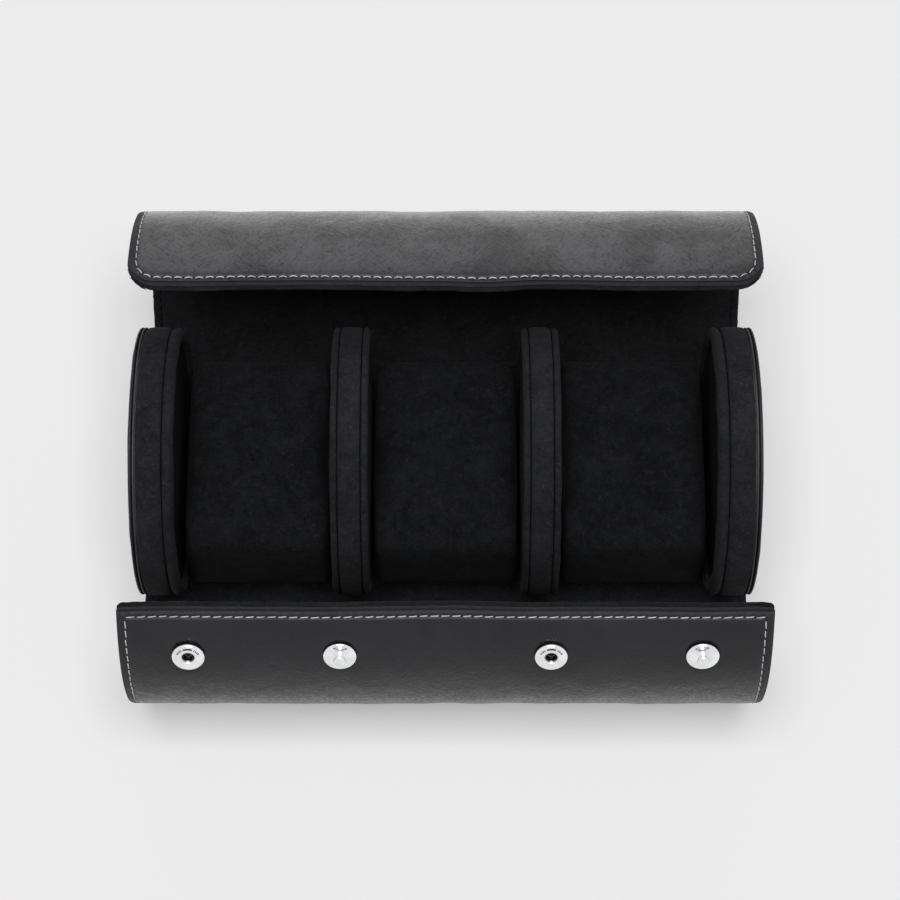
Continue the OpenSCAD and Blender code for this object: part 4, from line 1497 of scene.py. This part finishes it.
PAD_REACH = 15.0
PAD_THICKNESS = 1.2
PAD_PRESSED = 0.25
PAD_ROUNDING = 0.3
PAD_GAP = 0.2


def lay_pad():
    """A suede pad on the spine, rolled to the trough that the discs stand in."""
    bpy.ops.mesh.primitive_grid_add(x_subdivisions=90, y_subdivisions=16, size=2, location=(0, 0, 0))
    pad = just_made("trough_pad")
    pad.scale = (END_OUTER * MM, PAD_REACH * MM, 1)
    settle(pad)
    thicken(pad, PAD_THICKNESS - PAD_PRESSED)
    soften(pad, PAD_ROUNDING)
    keep_cut(pad)
    co = points_of(pad) / MM
    height = co[:, 2] - LEATHER - BOARD - LINING - PAD_GAP
    y, z = closed_section(co[:, 1], height)
    set_points(pad, np.column_stack([co[:, 0], y, z]) * MM)
    smooth(pad, angle=50)
    give(pad, lining_suede)
    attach(pad, "tray")
    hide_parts("floor_pad")


lay_pad()
inner_finishes = (("board", board), ("boards", board), ("foam", foam), ("springs", steel), ("backs", steel))
for name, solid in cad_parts.items():
    for ending, material in inner_finishes:
        if name.endswith("_" + ending):
            solid.data.materials.clear()
            solid.data.materials.append(material)


# ---- Floor, light and camera ----

CAMERA_ELEVATION = 64.93
CAMERA_DISTANCE = 1026.8
CAMERA_RISE = 3.92
CAMERA_SIDE = 1.5
CAMERA_LENS, SENSOR_WIDTH = 115.6, 36
BACKDROP_SEEN, BACKDROP_LIGHT = 0.847, 0.07
FLOOR_TONE, FLOOR_GLOW = 0.60, 0.31


def aim_camera():
    elevation = math.radians(CAMERA_ELEVATION)
    data = bpy.data.cameras.new("camera")
    data.lens = CAMERA_LENS
    data.sensor_width = SENSOR_WIDTH
    camera = bpy.data.objects.new("camera", data)
    back = Vector((0, -math.cos(elevation), math.sin(elevation)))
    up = Vector((0, math.sin(elevation), math.cos(elevation)))
    middle = Vector((CAMERA_SIDE, 0, AXIS_HEIGHT))
    camera.location = (middle + back * CAMERA_DISTANCE + up * CAMERA_RISE) * MM
    camera.rotation_euler = (math.pi / 2 - elevation, 0, 0)
    bpy.context.collection.objects.link(camera)
    bpy.context.scene.camera = camera


def seen_directly(tree):
    """1 for rays from the camera, off gloss or through glass, and 0 for light on matt surfaces."""
    path = node(tree, "LightPath")
    seen = math_node(tree, "MAXIMUM", path.outputs["Is Camera Ray"], path.outputs["Is Glossy Ray"])
    return math_node(tree, "MAXIMUM", seen, path.outputs["Is Transmission Ray"])


def lay_floor():
    bpy.ops.mesh.primitive_plane_add(size=12, location=(0, 0, 0))
    floor = just_made("studio_floor")
    material, tree, shader = new_material("pale studio floor", 1.0, specular=0.0)
    shader.inputs["Base Color"].default_value = (FLOOR_TONE, FLOOR_TONE, FLOOR_TONE, 1)
    shader.inputs["Emission Color"].default_value = (1, 1, 1, 1)
    glow = math_node(tree, "MULTIPLY", seen_directly(tree), FLOOR_GLOW)
    tree.links.new(glow, shader.inputs["Emission Strength"])
    floor.data.materials.append(material)


def area_light(name, place, target, size, power):
    data = bpy.data.lights.new(name, "AREA")
    data.shape = "RECTANGLE"
    data.size, data.size_y = size
    data.energy = power
    light = bpy.data.objects.new(name, data)
    light.location = place
    light.rotation_euler = (Vector(target) - Vector(place)).to_track_quat("-Z", "Y").to_euler()
    bpy.context.collection.objects.link(light)


aim_camera()
lay_floor()
area_light("key softbox", (0.0, -0.92, 4.0), target=(0, 0.0, 0.05), size=(2.4, 2.1), power=148.0)
area_light("back softbox", (0.0, 1.3, 0.75), target=(0, 0.05, 0.1), size=(2.2, 0.8), power=2.6)

world = bpy.data.worlds.new("studio air")
bpy.context.scene.world = world
world.use_nodes = True
backdrop = world.node_tree.nodes["Background"]
level = remap(world.node_tree, seen_directly(world.node_tree), 0.0, 1.0, BACKDROP_LIGHT, BACKDROP_SEEN)
world.node_tree.links.new(level, backdrop.inputs["Strength"])
backdrop.inputs["Color"].default_value = (1, 1, 1, 1)

bpy.context.scene.view_settings.view_transform = "Standard"
